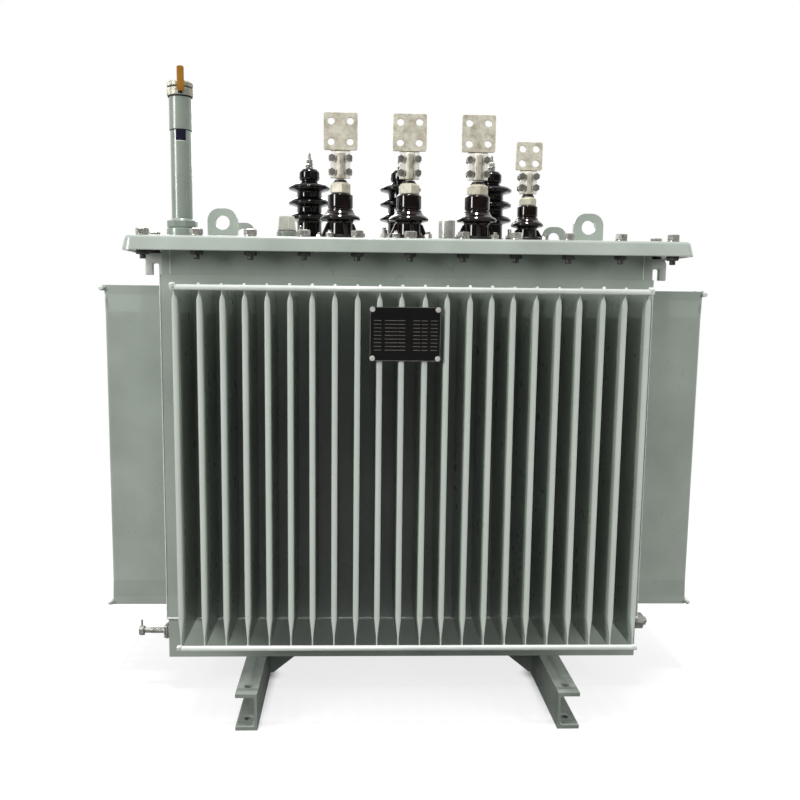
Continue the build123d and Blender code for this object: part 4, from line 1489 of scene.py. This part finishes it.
@dataclass
class Clamps:
    """Clamp rings of all bushings, with their arms, claws, studs and nuts."""

    phase_turns: tuple[float, ...] = (20.0, 10.0, 0.0)
    high_turns: tuple[float, ...] = (25.0, -5.0, 10.0)

    def build(self, repeats: Repeats) -> None:
        """Build the clamps of both sides."""
        low = [ClampSet(f"low_bushing_{letter}", 38 * MM, 28 * MM, 44 * MM, 44 * MM, 24 * MM, turn,
                        seat=8 * MM, nut_width=16 * MM) for letter, turn in zip("abc", self.phase_turns)]
        low.append(ClampSet("low_bushing_neutral", 33 * MM, 22 * MM, 38 * MM, 35 * MM, 22 * MM, 5.0,
                            seat=7 * MM, nut_width=14 * MM, stud_radius=4 * MM))
        high = [ClampSet(f"high_bushing_{number}", 40 * MM, 0.0, 0.0, 0.0, 52 * MM, turn)
                for number, turn in zip((1, 2, 3), self.high_turns)]
        for side, sets in (("low", low), ("high", high)):
            cast, plated = [], []
            for clamp in sets:
                made = clamp.build(repeats)
                cast += made[0]
                plated += made[1]
            settle(joined(f"{side}_clamp_claws", cast), CLAMP_IRON)
            settle(joined(f"{side}_clamp_studs", plated), ZINC)
            refined(f"{side}_clamp_rings", CLAMP_IRON)


@dataclass
class HighTerminal:
    """Threaded stud of a high-voltage bushing, with three nuts and a narrower one above."""

    node: str
    stud: float = 4.8 * MM
    tip: float = 3.5 * MM
    nuts: tuple[tuple[float, float, float], ...] = (
        (17 * MM, 0.0, 4 * MM), (17 * MM, 4.9 * MM, 4 * MM), (17 * MM, 9.8 * MM, 4 * MM),
        (13.5 * MM, 14.7 * MM, 8.5 * MM))

    def build(self) -> None:
        """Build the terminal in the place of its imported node."""
        low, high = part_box(self.node)
        centre = middle(self.node)
        base = at(centre.x, centre.y, low.z)
        height = high.z - low.z
        points = [(0, 0)] + thread(self.stud, 0, 27 * MM, 1.75 * MM)
        points += [(self.stud, 28 * MM), (self.tip, 29 * MM)]
        points += thread(self.tip, 29.5 * MM, height - 2 * MM, 1.5 * MM)
        points += [(self.tip - 1.2 * MM, height), (0, height)]
        shape = Shape().turned(points, base, 20)
        for turn, (width, start, depth) in enumerate(self.nuts):
            shape.prism(width, depth, base @ at(0, 0, start), 0.7 * MM, turn=17 * turn)
        settle(shape.done(self.node + "_turned", 25.0), ZINC, self.node)
        rings = Shape()
        for (width, start, depth), (_, above, _) in zip(self.nuts, self.nuts[1:]):
            rings.turned(drum(width / 2 - 1 * MM, start + depth, above), base, 28)
        settle(rings.done(self.node + "_washers"), DARK_STEEL)


@dataclass(frozen=True)
class TerminalSize:
    """Sizes of one low-voltage terminal."""

    stud: float
    nut_width: float
    nut_height: float
    jaw_lift: float
    jaw_width: float
    jaw_height: float
    palm_width: float
    palm_height: float
    hole_x: float
    hole_z: float
    bolt_x: float
    bolt_heights: tuple[float, float]


PHASE_SIZE = TerminalSize(8.5 * MM, 43 * MM, 24 * MM, 11 * MM, 45 * MM, 62 * MM, 76.5 * MM, 82 * MM,
                          43 * MM, 45.5 * MM, 19.3 * MM, (13 * MM, 44 * MM))
NEUTRAL_SIZE = TerminalSize(7 * MM, 34 * MM, 19 * MM, 8 * MM, 38 * MM, 53 * MM, 60 * MM, 62 * MM,
                            30.5 * MM, 32 * MM, 16.3 * MM, (13 * MM, 38 * MM))


@dataclass
class LowTerminals:
    """Nuts, studs, jaws with their bolts and four-hole palms of the low-voltage side."""

    wall: float = 3.6 * MM
    plate: float = 5.6 * MM
    gap: float = 1.5 * MM
    step: float = 4 * MM
    barrel_steps: int = 12
    palm_thickness: float = 8 * MM
    palm_corner: float = 5 * MM
    hole: float = 7.8 * MM
    bolt_width: float = 14.5 * MM
    bolt_head: float = 6 * MM
    washer: float = 8.0 * MM
    washer_height: float = 1.4 * MM

    def jaw_loop(self, size: TerminalSize, side: int) -> list[tuple[float, float]]:
        """Cross-section of one jaw: a flat plate with a half-round barrel.

        Args:
            size: sizes of the terminal.
            side: -1 for the front jaw, 1 for the rear one.

        Returns:
            The anticlockwise loop, seen from above.
        """
        barrel = size.stud + self.wall
        inner, outer, half = self.gap / 2, self.plate + self.gap / 2, size.jaw_width / 2
        corner = math.sqrt(barrel ** 2 - outer ** 2)
        edge = math.asin(outer / barrel)
        points = [(-half, inner, 0.5 * MM), (-half, outer, 1.2 * MM), (-corner, outer, 1.5 * MM)]
        for step in range(1, self.barrel_steps):
            turn = math.pi - edge - step / self.barrel_steps * (math.pi - 2 * edge)
            points.append((barrel * math.cos(turn), barrel * math.sin(turn), 0))
        points += [(corner, outer, 1.5 * MM), (half, outer, 1.2 * MM), (half, inner, 0.5 * MM)]
        loop = rounded([(x, side * y, rounding) for x, y, rounding in points], 3, True)
        return loop if side < 0 else list(reversed(loop))

    def bolt(self) -> Shape:
        """Bolt through both jaws, with its head in front and its nut at the back."""
        shape = Shape()
        reach = self.plate + self.gap / 2
        front, back = facing(0, -reach, 0, "-Y"), facing(0, reach, 0, "+Y")
        for place in (front, back):
            shape.prism(self.bolt_width, self.bolt_head, place @ at(0, 0, self.washer_height),
                        0.9 * MM, turn=30)
        end = self.washer_height + self.bolt_head
        shape.turned([(0, end)] + thread(3.8 * MM, end, end + 6 * MM, 1.5 * MM) + [(0, end + 6 * MM)],
                     back, 14)
        return shape

    def build(self, repeats: Repeats) -> None:
        """Build the four terminals."""
        nuts, washers, studs, jaws = Shape(), Shape(), Shape(), Shape()
        barrels, bolts = Shape(), []
        rows = [("a", PHASE_SIZE), ("b", PHASE_SIZE), ("c", PHASE_SIZE), ("neutral", NEUTRAL_SIZE)]
        for letter, size in rows:
            centre = middle(f"low_bushing_{letter}")
            x, y = centre.x, centre.y
            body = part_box(f"low_bushing_{letter}")[1].z
            nut_top = body + size.nut_height
            bottom = nut_top + size.jaw_lift
            place = at(x, y, 0)
            nuts.prism(size.nut_width, size.nut_height - 3 * MM, at(x, y, body), 1.6 * MM, turn=38)
            nuts.turned(rounded([(0, nut_top - 3 * MM, 0), (0.46 * size.nut_width, nut_top - 3 * MM, 0),
                                 (0.44 * size.nut_width, nut_top, 1 * MM), (0, nut_top, 0)]), place, 40)
            for reach, start, thick in ((size.stud + 7.5 * MM, 0.0, 2.6 * MM),
                                        (size.stud + 5 * MM, 3.2 * MM, 3 * MM)):
                washers.turned(drum(reach, nut_top + start, nut_top + start + thick), place, 32)
            top = bottom + size.jaw_height - 3 * MM
            studs.turned([(0, body)] + thread(size.stud, body, top, 2.5 * MM, 0.9 * MM) + [(0, top)],
                         place, 24)
            height = size.jaw_height - self.step
            jaws.plate([self.jaw_loop(size, -1)], height, at(x, y, bottom + height / 2), 0.6 * MM)
            for rise in size.bolt_heights:
                for side in (-1, 1):
                    bolts.append((x + side * size.bolt_x, y, bottom + rise))
                    jaws.turned(drum(self.washer, 0, self.washer_height),
                                facing(*bolts[-1], "-Y") @ at(0, 0, self.plate + self.gap / 2), 24)
            barrel = size.stud + self.wall + 0.4 * MM
            end = bottom + size.jaw_height - self.step
            barrels.turned(rounded([(0, bottom - 1 * MM, 0), (barrel, bottom - 1 * MM, 0.5 * MM),
                                    (barrel, end - 4 * MM, 1 * MM), (barrel - 5 * MM, end, 1 * MM),
                                    (0, end, 0)]), place, 72, 0.25 * MM)
            self.build_palm(letter, size, Vector((x, y, bottom)))
        settle(nuts.done("low_terminal_nuts"), TINNED_BRASS, "low_nuts")
        settle(studs.done("low_terminal_studs", 25.0), TINNED_BRASS, "low_studs")
        settle(jaws.done("low_jaws_front", 20.0), BRIGHT_TIN, "low_front_jaws")
        settle(barrels.done("low_terminal_barrels", 60.0), WORN_TIN)
        settle(washers.done("low_terminal_washers"), DARK_STEEL)
        settle(repeats.scatter("jaw_bolts", self.bolt(), bolts, BOLT_STEEL, seed=31), BOLT_STEEL)

    def build_palm(self, letter: str, size: TerminalSize, foot: Vector) -> None:
        """Build a rear jaw with its palm.

        Args:
            letter: name of the terminal.
            size: its sizes.
            foot: lower end of the jaw, on the stud's axis.
        """
        shape = Shape()
        shape.plate([self.jaw_loop(size, 1)], size.jaw_height,
                    at(foot.x, foot.y, foot.z + size.jaw_height / 2), 0.6 * MM)
        rise = foot.z + size.jaw_height + size.palm_height / 2
        holes = [circle(a * size.hole_x / 2, b * size.hole_z / 2, self.hole)
                 for a in (-1, 1) for b in (-1, 1)]
        shape.plate([rectangle(size.palm_width, size.palm_height, self.palm_corner)] + holes,
                    self.palm_thickness, facing(foot.x, foot.y, rise, "-Y"), 0.6 * MM)
        settle(shape.done(f"low_palm_{letter}_cast", 20.0), TINNED_COPPER, f"low_palm_{letter}")


@dataclass
class OilGauge:
    """Oil gauge tube with its flange, union, sleeve, sight glass, knurled cap and lever."""

    base_radius: float = 34.5 * MM
    base_height: float = 23 * MM
    union_width: float = 62 * MM
    union_height: float = 16 * MM
    tube: float = 22.8 * MM
    sleeve: float = 24.6 * MM
    window_height: float = 209 * MM
    window_opening: float = 24 * MM
    sleeve_height: float = 69 * MM
    cap: float = 27.8 * MM
    cap_height: float = 33 * MM
    joint: float = 19 * MM
    groove: float = 2.5 * MM
    knurl: float = 0.7 * MM
    window_turn: float = 5.0
    window_width: float = 25 * MM
    lever_turn: float = 13.0
    lever_width: float = 15 * MM
    lever_length: float = 52 * MM
    lever_rise: float = 27 * MM

    def build(self) -> None:
        """Build the gauge on the lid."""
        centre = middle("gauge_base")
        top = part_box("lid")[1].z
        axis = at(centre.x, centre.y, top)
        collar = self.base_height + self.union_height
        base = Shape().turned(drum(self.base_radius, 0, self.base_height - 1 * MM, 1 * MM, 2 * MM),
                              axis, 64)
        base.prism(self.union_width, self.union_height, axis @ at(0, 0, self.base_height), 1.5 * MM,
                   8, 22.5)
        base.turned(rounded([(0, collar - 1 * MM, 0), (self.tube + 4.5 * MM, collar - 1 * MM, 0),
                             (self.tube + 1 * MM, collar + 4 * MM, 2 * MM),
                             (0, collar + 4 * MM, 0)]), axis, 48)
        settle(base.done("gauge_flange"), GAUGE_SHADE_ENAMEL, "gauge_base")
        sleeve = self.window_height + self.window_opening
        end = sleeve + self.sleeve_height
        tube = Shape().turned(drum(self.tube, self.base_height, sleeve + 2 * MM), axis, 64)
        tube.turned(drum(self.sleeve, sleeve, end, 0.8 * MM, 0.5 * MM), axis, 64)
        settle(tube.done("gauge_pipe"), GAUGE_SHADE_ENAMEL, "gauge_tube")
        self.build_window(axis)
        self.build_cap(axis, end)
        # Black ring under the sleeve's lower edge: the sleeve's shadow, painted on in the rubber finish.
        rim = Shape().turned(drum(self.sleeve - 0.6 * MM, sleeve - 1.2 * MM, sleeve), axis, 64)
        settle(rim.done("gauge_sleeve_seal"), BLACK_RUBBER)

    def build_window(self, axis: Matrix) -> None:
        """Build the sight glass and the pale line below it.

        Args:
            axis: place of the gauge on the lid.
        """
        half = math.asin(self.window_width / 2 / self.tube)
        ring = self.tube + 0.35 * MM
        turned = math.radians(self.window_turn) - math.pi / 2
        glass, line = Shape(), Shape()
        for shape, low, high, reach in ((glass, 0.0, self.window_opening - 1.4 * MM, ring),
                                        (line, -1.6 * MM, 0.0, ring + 0.25 * MM)):
            levels = []
            for height in (self.window_height + low, self.window_height + high):
                arc = [(reach * math.cos(turned + half * step / 8),
                        reach * math.sin(turned + half * step / 8), height) for step in range(-8, 9)]
                back = [(0.8 * x, 0.8 * y, z) for x, y, z in reversed(arc)]
                levels.append(arc + back)
            shape.skin(levels, axis)
        settle(glass.done("gauge_sight_glass"), SIGHT_GLASS, "gauge_window")
        settle(line.done("gauge_window_sill"), CREAM)

    def build_cap(self, axis: Matrix, end: float) -> None:
        """Build the knurled cap in two rings, its seals and the lever in front of it.

        Args:
            axis: place of the gauge on the lid.
            end: top of the sleeve above the lid.
        """
        top = end + self.cap_height
        cap = Shape()
        for low, high, crown in ((end + self.groove, end + self.joint, 1 * MM),
                                 (end + self.joint + self.groove, top, 3.5 * MM)):
            outline = rounded([(0, low, 0), (self.cap - 0.8 * MM, low, 0),
                               (self.cap, low + 1 * MM, 0.5 * MM), (self.cap, high - crown, crown / 2),
                               (self.cap - crown, high, crown / 2), (0, high, 0)], 3)
            cap.turned(outline, axis, 144, self.knurl)
        seals = Shape()
        for low in (end, end + self.joint):
            seals.turned(drum(self.cap - 1.6 * MM, low, low + self.groove), axis, 64)
        turn = axis @ Matrix.Rotation(math.radians(self.lever_turn), 4, "Z")
        front = self.cap + 3 * MM
        rise = top + self.lever_rise - self.lever_length / 2
        seals.plate([rectangle(9 * MM, 12 * MM, 1 * MM)], 6 * MM,
                    turn @ facing(0, -self.cap - 0.5 * MM, end + self.groove + 7.5 * MM, "-Y"), 0.3 * MM)
        lever = Shape().plate([rectangle(self.lever_width, self.lever_length, 5 * MM)], 5 * MM,
                              turn @ facing(0, -front - 2.5 * MM, rise, "-Y"), 0.8 * MM)
        settle(cap.done("gauge_knurled_cap", 25.0), CREAM_METAL, "gauge_cap")
        settle(seals.done("gauge_cap_seals"), BLACK_RUBBER)
        settle(lever.done("gauge_orange_lever"), ORANGE, "gauge_lever")


@dataclass
class LidFittings:
    """Filler cap and tap changer cover."""

    collar: float = 24.6 * MM
    collar_height: float = 33 * MM
    cap: float = 21.5 * MM
    cap_top: float = 18.5 * MM
    cap_height: float = 36.5 * MM
    knurl: float = 1.0 * MM
    cover: float = 20 * MM
    cover_height: float = 64 * MM

    def build(self) -> None:
        """Build both fittings on the lid."""
        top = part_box("lid")[1].z
        spot = middle("filler_cap")
        axis = at(spot.x, spot.y, top)
        neck = Shape().turned(drum(self.collar, 0, self.collar_height, 1 * MM, 2 * MM), axis, 56)
        settle(neck.done("filler_collar"), TANK_ENAMEL)
        end = self.collar_height + self.cap_height
        outline = rounded([(0, self.collar_height, 0), (self.cap, self.collar_height, 0.6 * MM),
                           (self.cap_top, end - 1 * MM, 2.5 * MM), (0, end, 0)])
        cap = Shape().turned(outline, axis, 96, self.knurl)
        settle(cap.done("filler_screw_cap", 20.0), CREAM, "filler_cap")
        seal = Shape().turned(drum(self.cap + 1 * MM, self.collar_height, self.collar_height + 2 * MM),
                              axis, 56)
        settle(seal.done("filler_seal"), BLACK_RUBBER)
        spot = middle("tap_changer_cover")
        cover = Shape().turned(drum(self.cover, 0, self.cover_height, 0, 3 * MM),
                               at(spot.x, spot.y, top), 64)
        settle(cover.done("tap_cover_shell"), POLISHED, "tap_changer_cover")


@dataclass
class EndFittings:
    """Drain valve on the left end and earth terminal on the right end of the base frame."""

    drain_height: float = 133 * MM
    drain_inset: float = 30 * MM
    earth_height: float = 160.5 * MM
    earth_inset: float = 15 * MM
    flange: float = 17 * MM
    flange_thickness: float = 16 * MM
    pipe: float = 6.5 * MM
    pipe_length: float = 46 * MM
    nut_width: float = 21 * MM
    nut_length: float = 11 * MM
    screw_inset: float = 10.5 * MM
    stem: float = 2.2 * MM
    stem_height: float = 25 * MM
    pad_width: float = 32 * MM
    pad_thickness: float = 20 * MM
    bolt_width: float = 19 * MM
    bolt_length: float = 7 * MM

    def build(self) -> None:
        """Build both fittings on the base frame."""
        low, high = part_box("base_frame")
        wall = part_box("front_wall")[0].y
        self.build_drain(low.x, wall + self.drain_inset)
        self.build_earth(high.x, wall + self.earth_inset)

    def build_drain(self, x: float, y: float) -> None:
        """Build the drain valve.

        Args:
            x: face of the base frame.
            y: place of the valve along that face.
        """
        place = facing(x, y, self.drain_height, "-X")
        half = self.flange_thickness / 2
        plates, gaps = Shape(), Shape()
        for start in (0.0, 6 * MM):
            plates.plate([rectangle(30 * MM, 30 * MM, 3 * MM)], 4.5 * MM,
                         place @ at(0, 0, start + 2.25 * MM), 0.5 * MM)
            gaps.plate([rectangle(26 * MM, 26 * MM, 2 * MM)], 1.5 * MM,
                       place @ at(0, 0, start + 5.25 * MM))
        plates.turned(drum(12 * MM, 1.5 * half, 2 * half, 0, 1 * MM), place, 32)
        settle(plates.done("drain_flange"), ZINC)
        settle(gaps.done("drain_packing"), BLACK_RUBBER)
        end = self.flange_thickness + self.pipe_length
        screwed = thread(self.pipe, 2 * half, end - 14 * MM, 2.6 * MM, 0.7 * MM)
        body = Shape().turned([(0, half), *screwed, (self.pipe - 0.7 * MM, end), (0, end)], place, 28)
        for a in (-self.screw_inset, self.screw_inset):
            for b in (-self.screw_inset, self.screw_inset):
                body.prism(7 * MM, 4 * MM, place @ at(a, b, self.screw_inset), 0.5 * MM)
        body.prism(self.nut_width, self.nut_length, place @ at(0, 0, end), 1.2 * MM)
        body.turned(drum(self.stem, self.drain_height, self.drain_height + self.stem_height),
                    at(x - end - self.nut_length / 2, y, 0), 12)
        settle(body.done("drain_pipe"), ZINC, "drain_valve")

    def build_earth(self, x: float, y: float) -> None:
        """Build the earth terminal.

        Args:
            x: face of the base frame.
            y: place of the terminal along that face.
        """
        place = facing(x, y, self.earth_height, "+X")
        shape = Shape().prism(self.pad_width, self.pad_thickness, place, 1.5 * MM, turn=30)
        shape.prism(self.bolt_width, self.bolt_length, place @ at(0, 0, self.pad_thickness), 0.9 * MM,
                    turn=15)
        reach = self.pad_thickness + self.bolt_length
        end = reach + 3 * MM
        shape.turned([(0, reach), (6 * MM, reach), (5 * MM, end), (0, end)], place, 20)
        settle(shape.done("earth_bolt"), ZINC, "earth_terminal")


@dataclass
class Nameplate:
    """Black plate on the front fins, with ring rivets and blank ruled fields."""

    rivet: float = 5.4 * MM
    hole: float = 2.3 * MM
    inset: float = 5 * MM
    rows: int = 9
    row_pitch: float = 7.4 * MM
    first_row: float = 27 * MM
    columns: tuple[tuple[int, int], ...] = ((-63, 15), (-41, 26), (-16, 16), (16, 14), (33, 12),
                                            (51, 14))

    def build(self, repeats: Repeats) -> None:
        """Build the plate, its rivets and its ruled fields."""
        refined("nameplate", BLACK_PLATE)
        low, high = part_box("nameplate")
        ring = Shape().turned(rounded([(self.hole, 0, 0), (self.rivet, 0, 0),
                                       (self.rivet, 1.2 * MM, 0.6 * MM), (self.hole, 1.6 * MM, 0)]),
                              facing(0, 0, 0, "-Y"), 28)
        places = [(x, low.y, z) for x in (low.x + self.inset, high.x - self.inset)
                  for z in (low.z + self.inset, high.z - self.inset)]
        settle(repeats.scatter("plate_rivets", ring, places, POLISHED, seed=41), POLISHED)
        fields = Shape()
        for number in range(self.rows):
            z = high.z - self.first_row - number * self.row_pitch
            for start, length in self.columns:
                x = (low.x + high.x) / 2 + start * MM
                fields.plate([rectangle(length * MM, 1.1 * MM, 0.2 * MM)], 0.2 * MM,
                             facing(x + length * MM / 2, low.y - 0.05 * MM, z, "-Y"))
        settle(fields.done("plate_fields"), PALE_PRINT)
        edge = Shape().plate([rectangle(high.x - low.x, high.z - low.z, 0.5 * MM),
                              list(reversed(rectangle(high.x - low.x - 2 * MM, high.z - low.z - 2 * MM,
                                                      0.5 * MM)))], 0.3 * MM,
                             facing((low.x + high.x) / 2, low.y - 0.1 * MM, (low.z + high.z) / 2, "-Y"))
        settle(edge.done("plate_edge"), PALE_PRINT)


@dataclass(frozen=True)
class Lamp:
    """A soft lamp: where it hangs and looks, its size in metres and its power in watts."""

    name: str
    place: Point
    aim: Point
    size: tuple[float, float]
    power: float
    mirrored: bool = True


SOFT_BOX = (0.8, 2.2)
LAMPS = (Lamp("key", (-3.3, -2.3, 2.1), (0.0, 0.0, 0.6), SOFT_BOX, 118.0),
         Lamp("fill", (3.3, -2.2, 1.9), (0.0, 0.0, 0.6), SOFT_BOX, 84.0, False),
         Lamp("rear", (-0.6, 3.2, 2.6), (0.0, 0.0, 0.8), (2.0, 2.0), 60.0))


@dataclass
class Studio:
    """Camera at the photograph's place, plain soft light, and a white floor and backdrop."""

    frame_pixels: float = 800.0
    focal_pixels: float = 852.7
    centre_x: float = 384.1
    centre_y: float = 411.9
    sensor: float = 36.0
    place: Point = (-0.1157, -2.1178, 0.8924)
    yaw: float = 0.0340
    pitch: float = -0.1268
    roll: float = 0.0107
    backdrop: float = 1.0
    glossy_front: float = 0.10
    glossy_top: float = 0.55
    sky_low: float = 0.10
    sky_high: float = 0.75
    floor_dark: float = 0.13
    floor_glow: float = 0.8
    contact_shadow_reach: float = 0.03
    floor_size: float = 12.0
    clip_end: float = 60.0
    ceiling_power: float = 2.0
    ceiling_spread: float = 8.0
    ceiling_aim: Point = (0.03, 0.09, -1.0)

    def camera_matrix(self) -> Matrix:
        """Camera's place and turn: yaw about the vertical, then pitch, then roll."""
        spin = Matrix.Rotation(-self.yaw, 4, "Z")
        tilt = Matrix.Rotation(math.pi / 2 + self.pitch, 4, "X")
        twist = Matrix.Rotation(self.roll, 4, "Z")
        return Matrix.Translation(self.place) @ spin @ tilt @ twist

    def add_camera(self) -> None:
        """Create the camera and make it the scene's."""
        data = bpy.data.cameras.new("camera")
        data.sensor_width = self.sensor
        data.lens = self.focal_pixels / self.frame_pixels * self.sensor
        data.shift_x = (self.frame_pixels / 2 - self.centre_x) / self.frame_pixels
        data.shift_y = (self.centre_y - self.frame_pixels / 2) / self.frame_pixels
        data.clip_end = self.clip_end
        camera = bpy.data.objects.new("camera", data)
        camera.matrix_world = self.camera_matrix()
        bpy.context.scene.collection.objects.link(camera)
        bpy.context.scene.camera = camera

    @staticmethod
    def add_lamp(lamp: Lamp) -> None:
        """Add a soft lamp.

        Args:
            lamp: the lamp to add.
        """
        data = bpy.data.lights.new(lamp.name, "AREA")
        data.shape = "RECTANGLE"
        data.size, data.size_y = lamp.size
        data.energy = lamp.power
        made = bpy.data.objects.new(lamp.name, data)
        made.visible_glossy = lamp.mirrored
        made.location = lamp.place
        sight = Vector(lamp.aim) - Vector(lamp.place)
        made.rotation_euler = sight.to_track_quat("-Z", "Y").to_euler()
        bpy.context.scene.collection.objects.link(made)

    def add_ceiling(self) -> None:
        """Add the even light of a high ceiling, a little from the front."""
        data = bpy.data.lights.new("ceiling", "SUN")
        data.angle = math.radians(self.ceiling_spread)
        data.energy = self.ceiling_power
        lamp = bpy.data.objects.new("ceiling", data)
        lamp.rotation_euler = Vector(self.ceiling_aim).to_track_quat("-Z", "Y").to_euler()
        bpy.context.scene.collection.objects.link(lamp)

    def add_world(self) -> None:
        """Light the object from a sky that is brighter overhead, and show a white backdrop."""
        world = bpy.data.worlds.new("studio")
        world.use_nodes = True
        tree = world.node_tree
        tree.nodes.clear()

        def node(kind: str, inputs: dict[object, object], **settings: object) -> bpy.types.Node:
            """Add a node to the world, set its properties and fill its inputs."""
            made = tree.nodes.new(kind)
            for key, value in settings.items():
                setattr(made, key, value)
            for key, value in inputs.items():
                if isinstance(value, bpy.types.NodeSocket):
                    tree.links.new(value, made.inputs[key])
                else:
                    made.inputs[key].default_value = value
            return made

        def ramp(value: bpy.types.NodeSocket, start: float, stop: float, low: float,
                 high: float) -> bpy.types.NodeSocket:
            """Go smoothly from one strength to another over a range of a direction."""
            return node("ShaderNodeMapRange", {"Value": value, "From Min": start, "From Max": stop,
                                               "To Min": low, "To Max": high},
                        interpolation_type="SMOOTHSTEP").outputs[0]

        path = tree.nodes.new("ShaderNodeLightPath")
        look = tree.nodes.new("ShaderNodeTexCoord")
        axes = node("ShaderNodeSeparateXYZ", {0: look.outputs["Generated"]})
        behind = ramp(axes.outputs["Y"], 0.0, 0.55, self.glossy_front, self.backdrop)
        above = ramp(axes.outputs["Z"], 0.35, 0.85, self.glossy_front, self.glossy_top)
        mirrored = node("ShaderNodeMath", {0: behind, 1: above}, operation="MAXIMUM")
        sky = ramp(axes.outputs["Z"], -0.1, 0.9, self.sky_low, self.sky_high)
        unseen = node("ShaderNodeMix", {0: path.outputs["Is Glossy Ray"], 2: sky,
                                        3: mirrored.outputs[0]}, data_type="FLOAT")
        seen = node("ShaderNodeMath", {0: path.outputs["Is Camera Ray"],
                                       1: path.outputs["Is Transmission Ray"]}, operation="MAXIMUM")
        strength = node("ShaderNodeMix", {0: seen.outputs[0], 2: unseen.outputs[0],
                                          3: self.backdrop}, data_type="FLOAT")
        white = node("ShaderNodeBackground", {"Color": WHITE, "Strength": strength.outputs[0]})
        node("ShaderNodeOutputWorld", {"Surface": white.outputs[0]})
        bpy.context.scene.world = world

    def add_floor(self) -> None:
        """Lay a wide white floor under the feet, which keeps the object's shadow, and whose glow ambient
        occlusion dims near the feet as a painted contact shadow.
        """
        work = bmesh.new()
        bmesh.ops.create_grid(work, x_segments=1, y_segments=1, size=self.floor_size)
        floor = as_object("studio_floor", work)
        graph = ShaderGraph("studio_floor")
        path = graph.node("ShaderNodeLightPath").outputs
        cloud = graph.spread(graph.noise(0.8, 2.0), self.floor_dark, self.floor_dark + 0.04)
        dim = graph.mix(cloud, BLACK, WHITE)
        dull = graph.maths("MAXIMUM", path["Is Diffuse Ray"], path["Is Glossy Ray"])
        graph.set(Base_Color=graph.mix(dull, FLOOR_GREY, dim))
        graph.set(Roughness=0.9, Specular_IOR_Level=0.0)
        glow = graph.node("ShaderNodeEmission")
        glow.inputs["Color"].default_value = WHITE
        axes = graph.node("ShaderNodeSeparateXYZ")
        graph.link(graph.place, axes.inputs[0])
        mirrored = graph.maths("MULTIPLY", path["Is Glossy Ray"],
                               graph.spread(axes.outputs["Y"], 0.0, 1.0, -0.3, 1.2))
        seen = graph.maths("MAXIMUM", graph.maths("MAXIMUM", path["Is Camera Ray"], mirrored),
                           path["Is Transmission Ray"])
        reach = graph.node("ShaderNodeVectorMath", operation="LENGTH")
        graph.link(graph.place, reach.inputs[0])
        # Ambient occlusion dims the glow near the feet and in the holes: a painted contact shadow.
        near = graph.node("ShaderNodeAmbientOcclusion", samples=8)
        near.inputs["Distance"].default_value = self.contact_shadow_reach
        glowing = graph.spread(reach.outputs["Value"], self.floor_glow, 1.0, 0.9, 3.2)
        unshaded = graph.spread(near.outputs["AO"], 0.0, 1.0, 0.25, 0.85)
        share = graph.maths("MULTIPLY", seen, graph.maths("MULTIPLY", glowing, unshaded))
        mix = graph.node("ShaderNodeMixShader")
        output = next(node for node in graph.tree.nodes if node.type == "OUTPUT_MATERIAL")
        graph.link(share, mix.inputs[0])
        graph.link(graph.shader.outputs[0], mix.inputs[1])
        graph.link(glow.outputs[0], mix.inputs[2])
        graph.link(mix.outputs[0], output.inputs["Surface"])
        floor.data.materials.append(graph.material)

    def build(self) -> None:
        """Build the whole studio."""
        bpy.context.scene.view_settings.view_transform = "Standard"
        self.add_camera()
        self.add_world()
        self.add_floor()
        self.add_ceiling()
        for lamp in LAMPS:
            self.add_lamp(lamp)


def write_sizes() -> None:
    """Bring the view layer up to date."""
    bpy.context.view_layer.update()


def main() -> None:
    """Build the studio and every sub-assembly in order."""
    logging.basicConfig(level=logging.INFO, format="%(name)s: %(message)s")
    repeats = Repeats()
    banks = FinBanks()
    Studio().build()
    TankShell().build()
    banks.build(repeats)
    Seams().build(repeats, banks)
    LidFasteners().build(repeats)
    for number in (1, 2, 3):
        Bushing(f"high_bushing_{number}", HIGH_OUTLINE, DARK_PORCELAIN).build()
        HighTerminal(f"high_terminal_{number}").build()
    for letter in "abc":
        Bushing(f"low_bushing_{letter}", PHASE_OUTLINE).build()
    Bushing("low_bushing_neutral", NEUTRAL_OUTLINE).build()
    Clamps().build(repeats)
    LowTerminals().build(repeats)
    OilGauge().build()
    LidFittings().build()
    EndFittings().build()
    Nameplate().build(repeats)
    write_sizes()


if __name__ == "__main__":
    main()
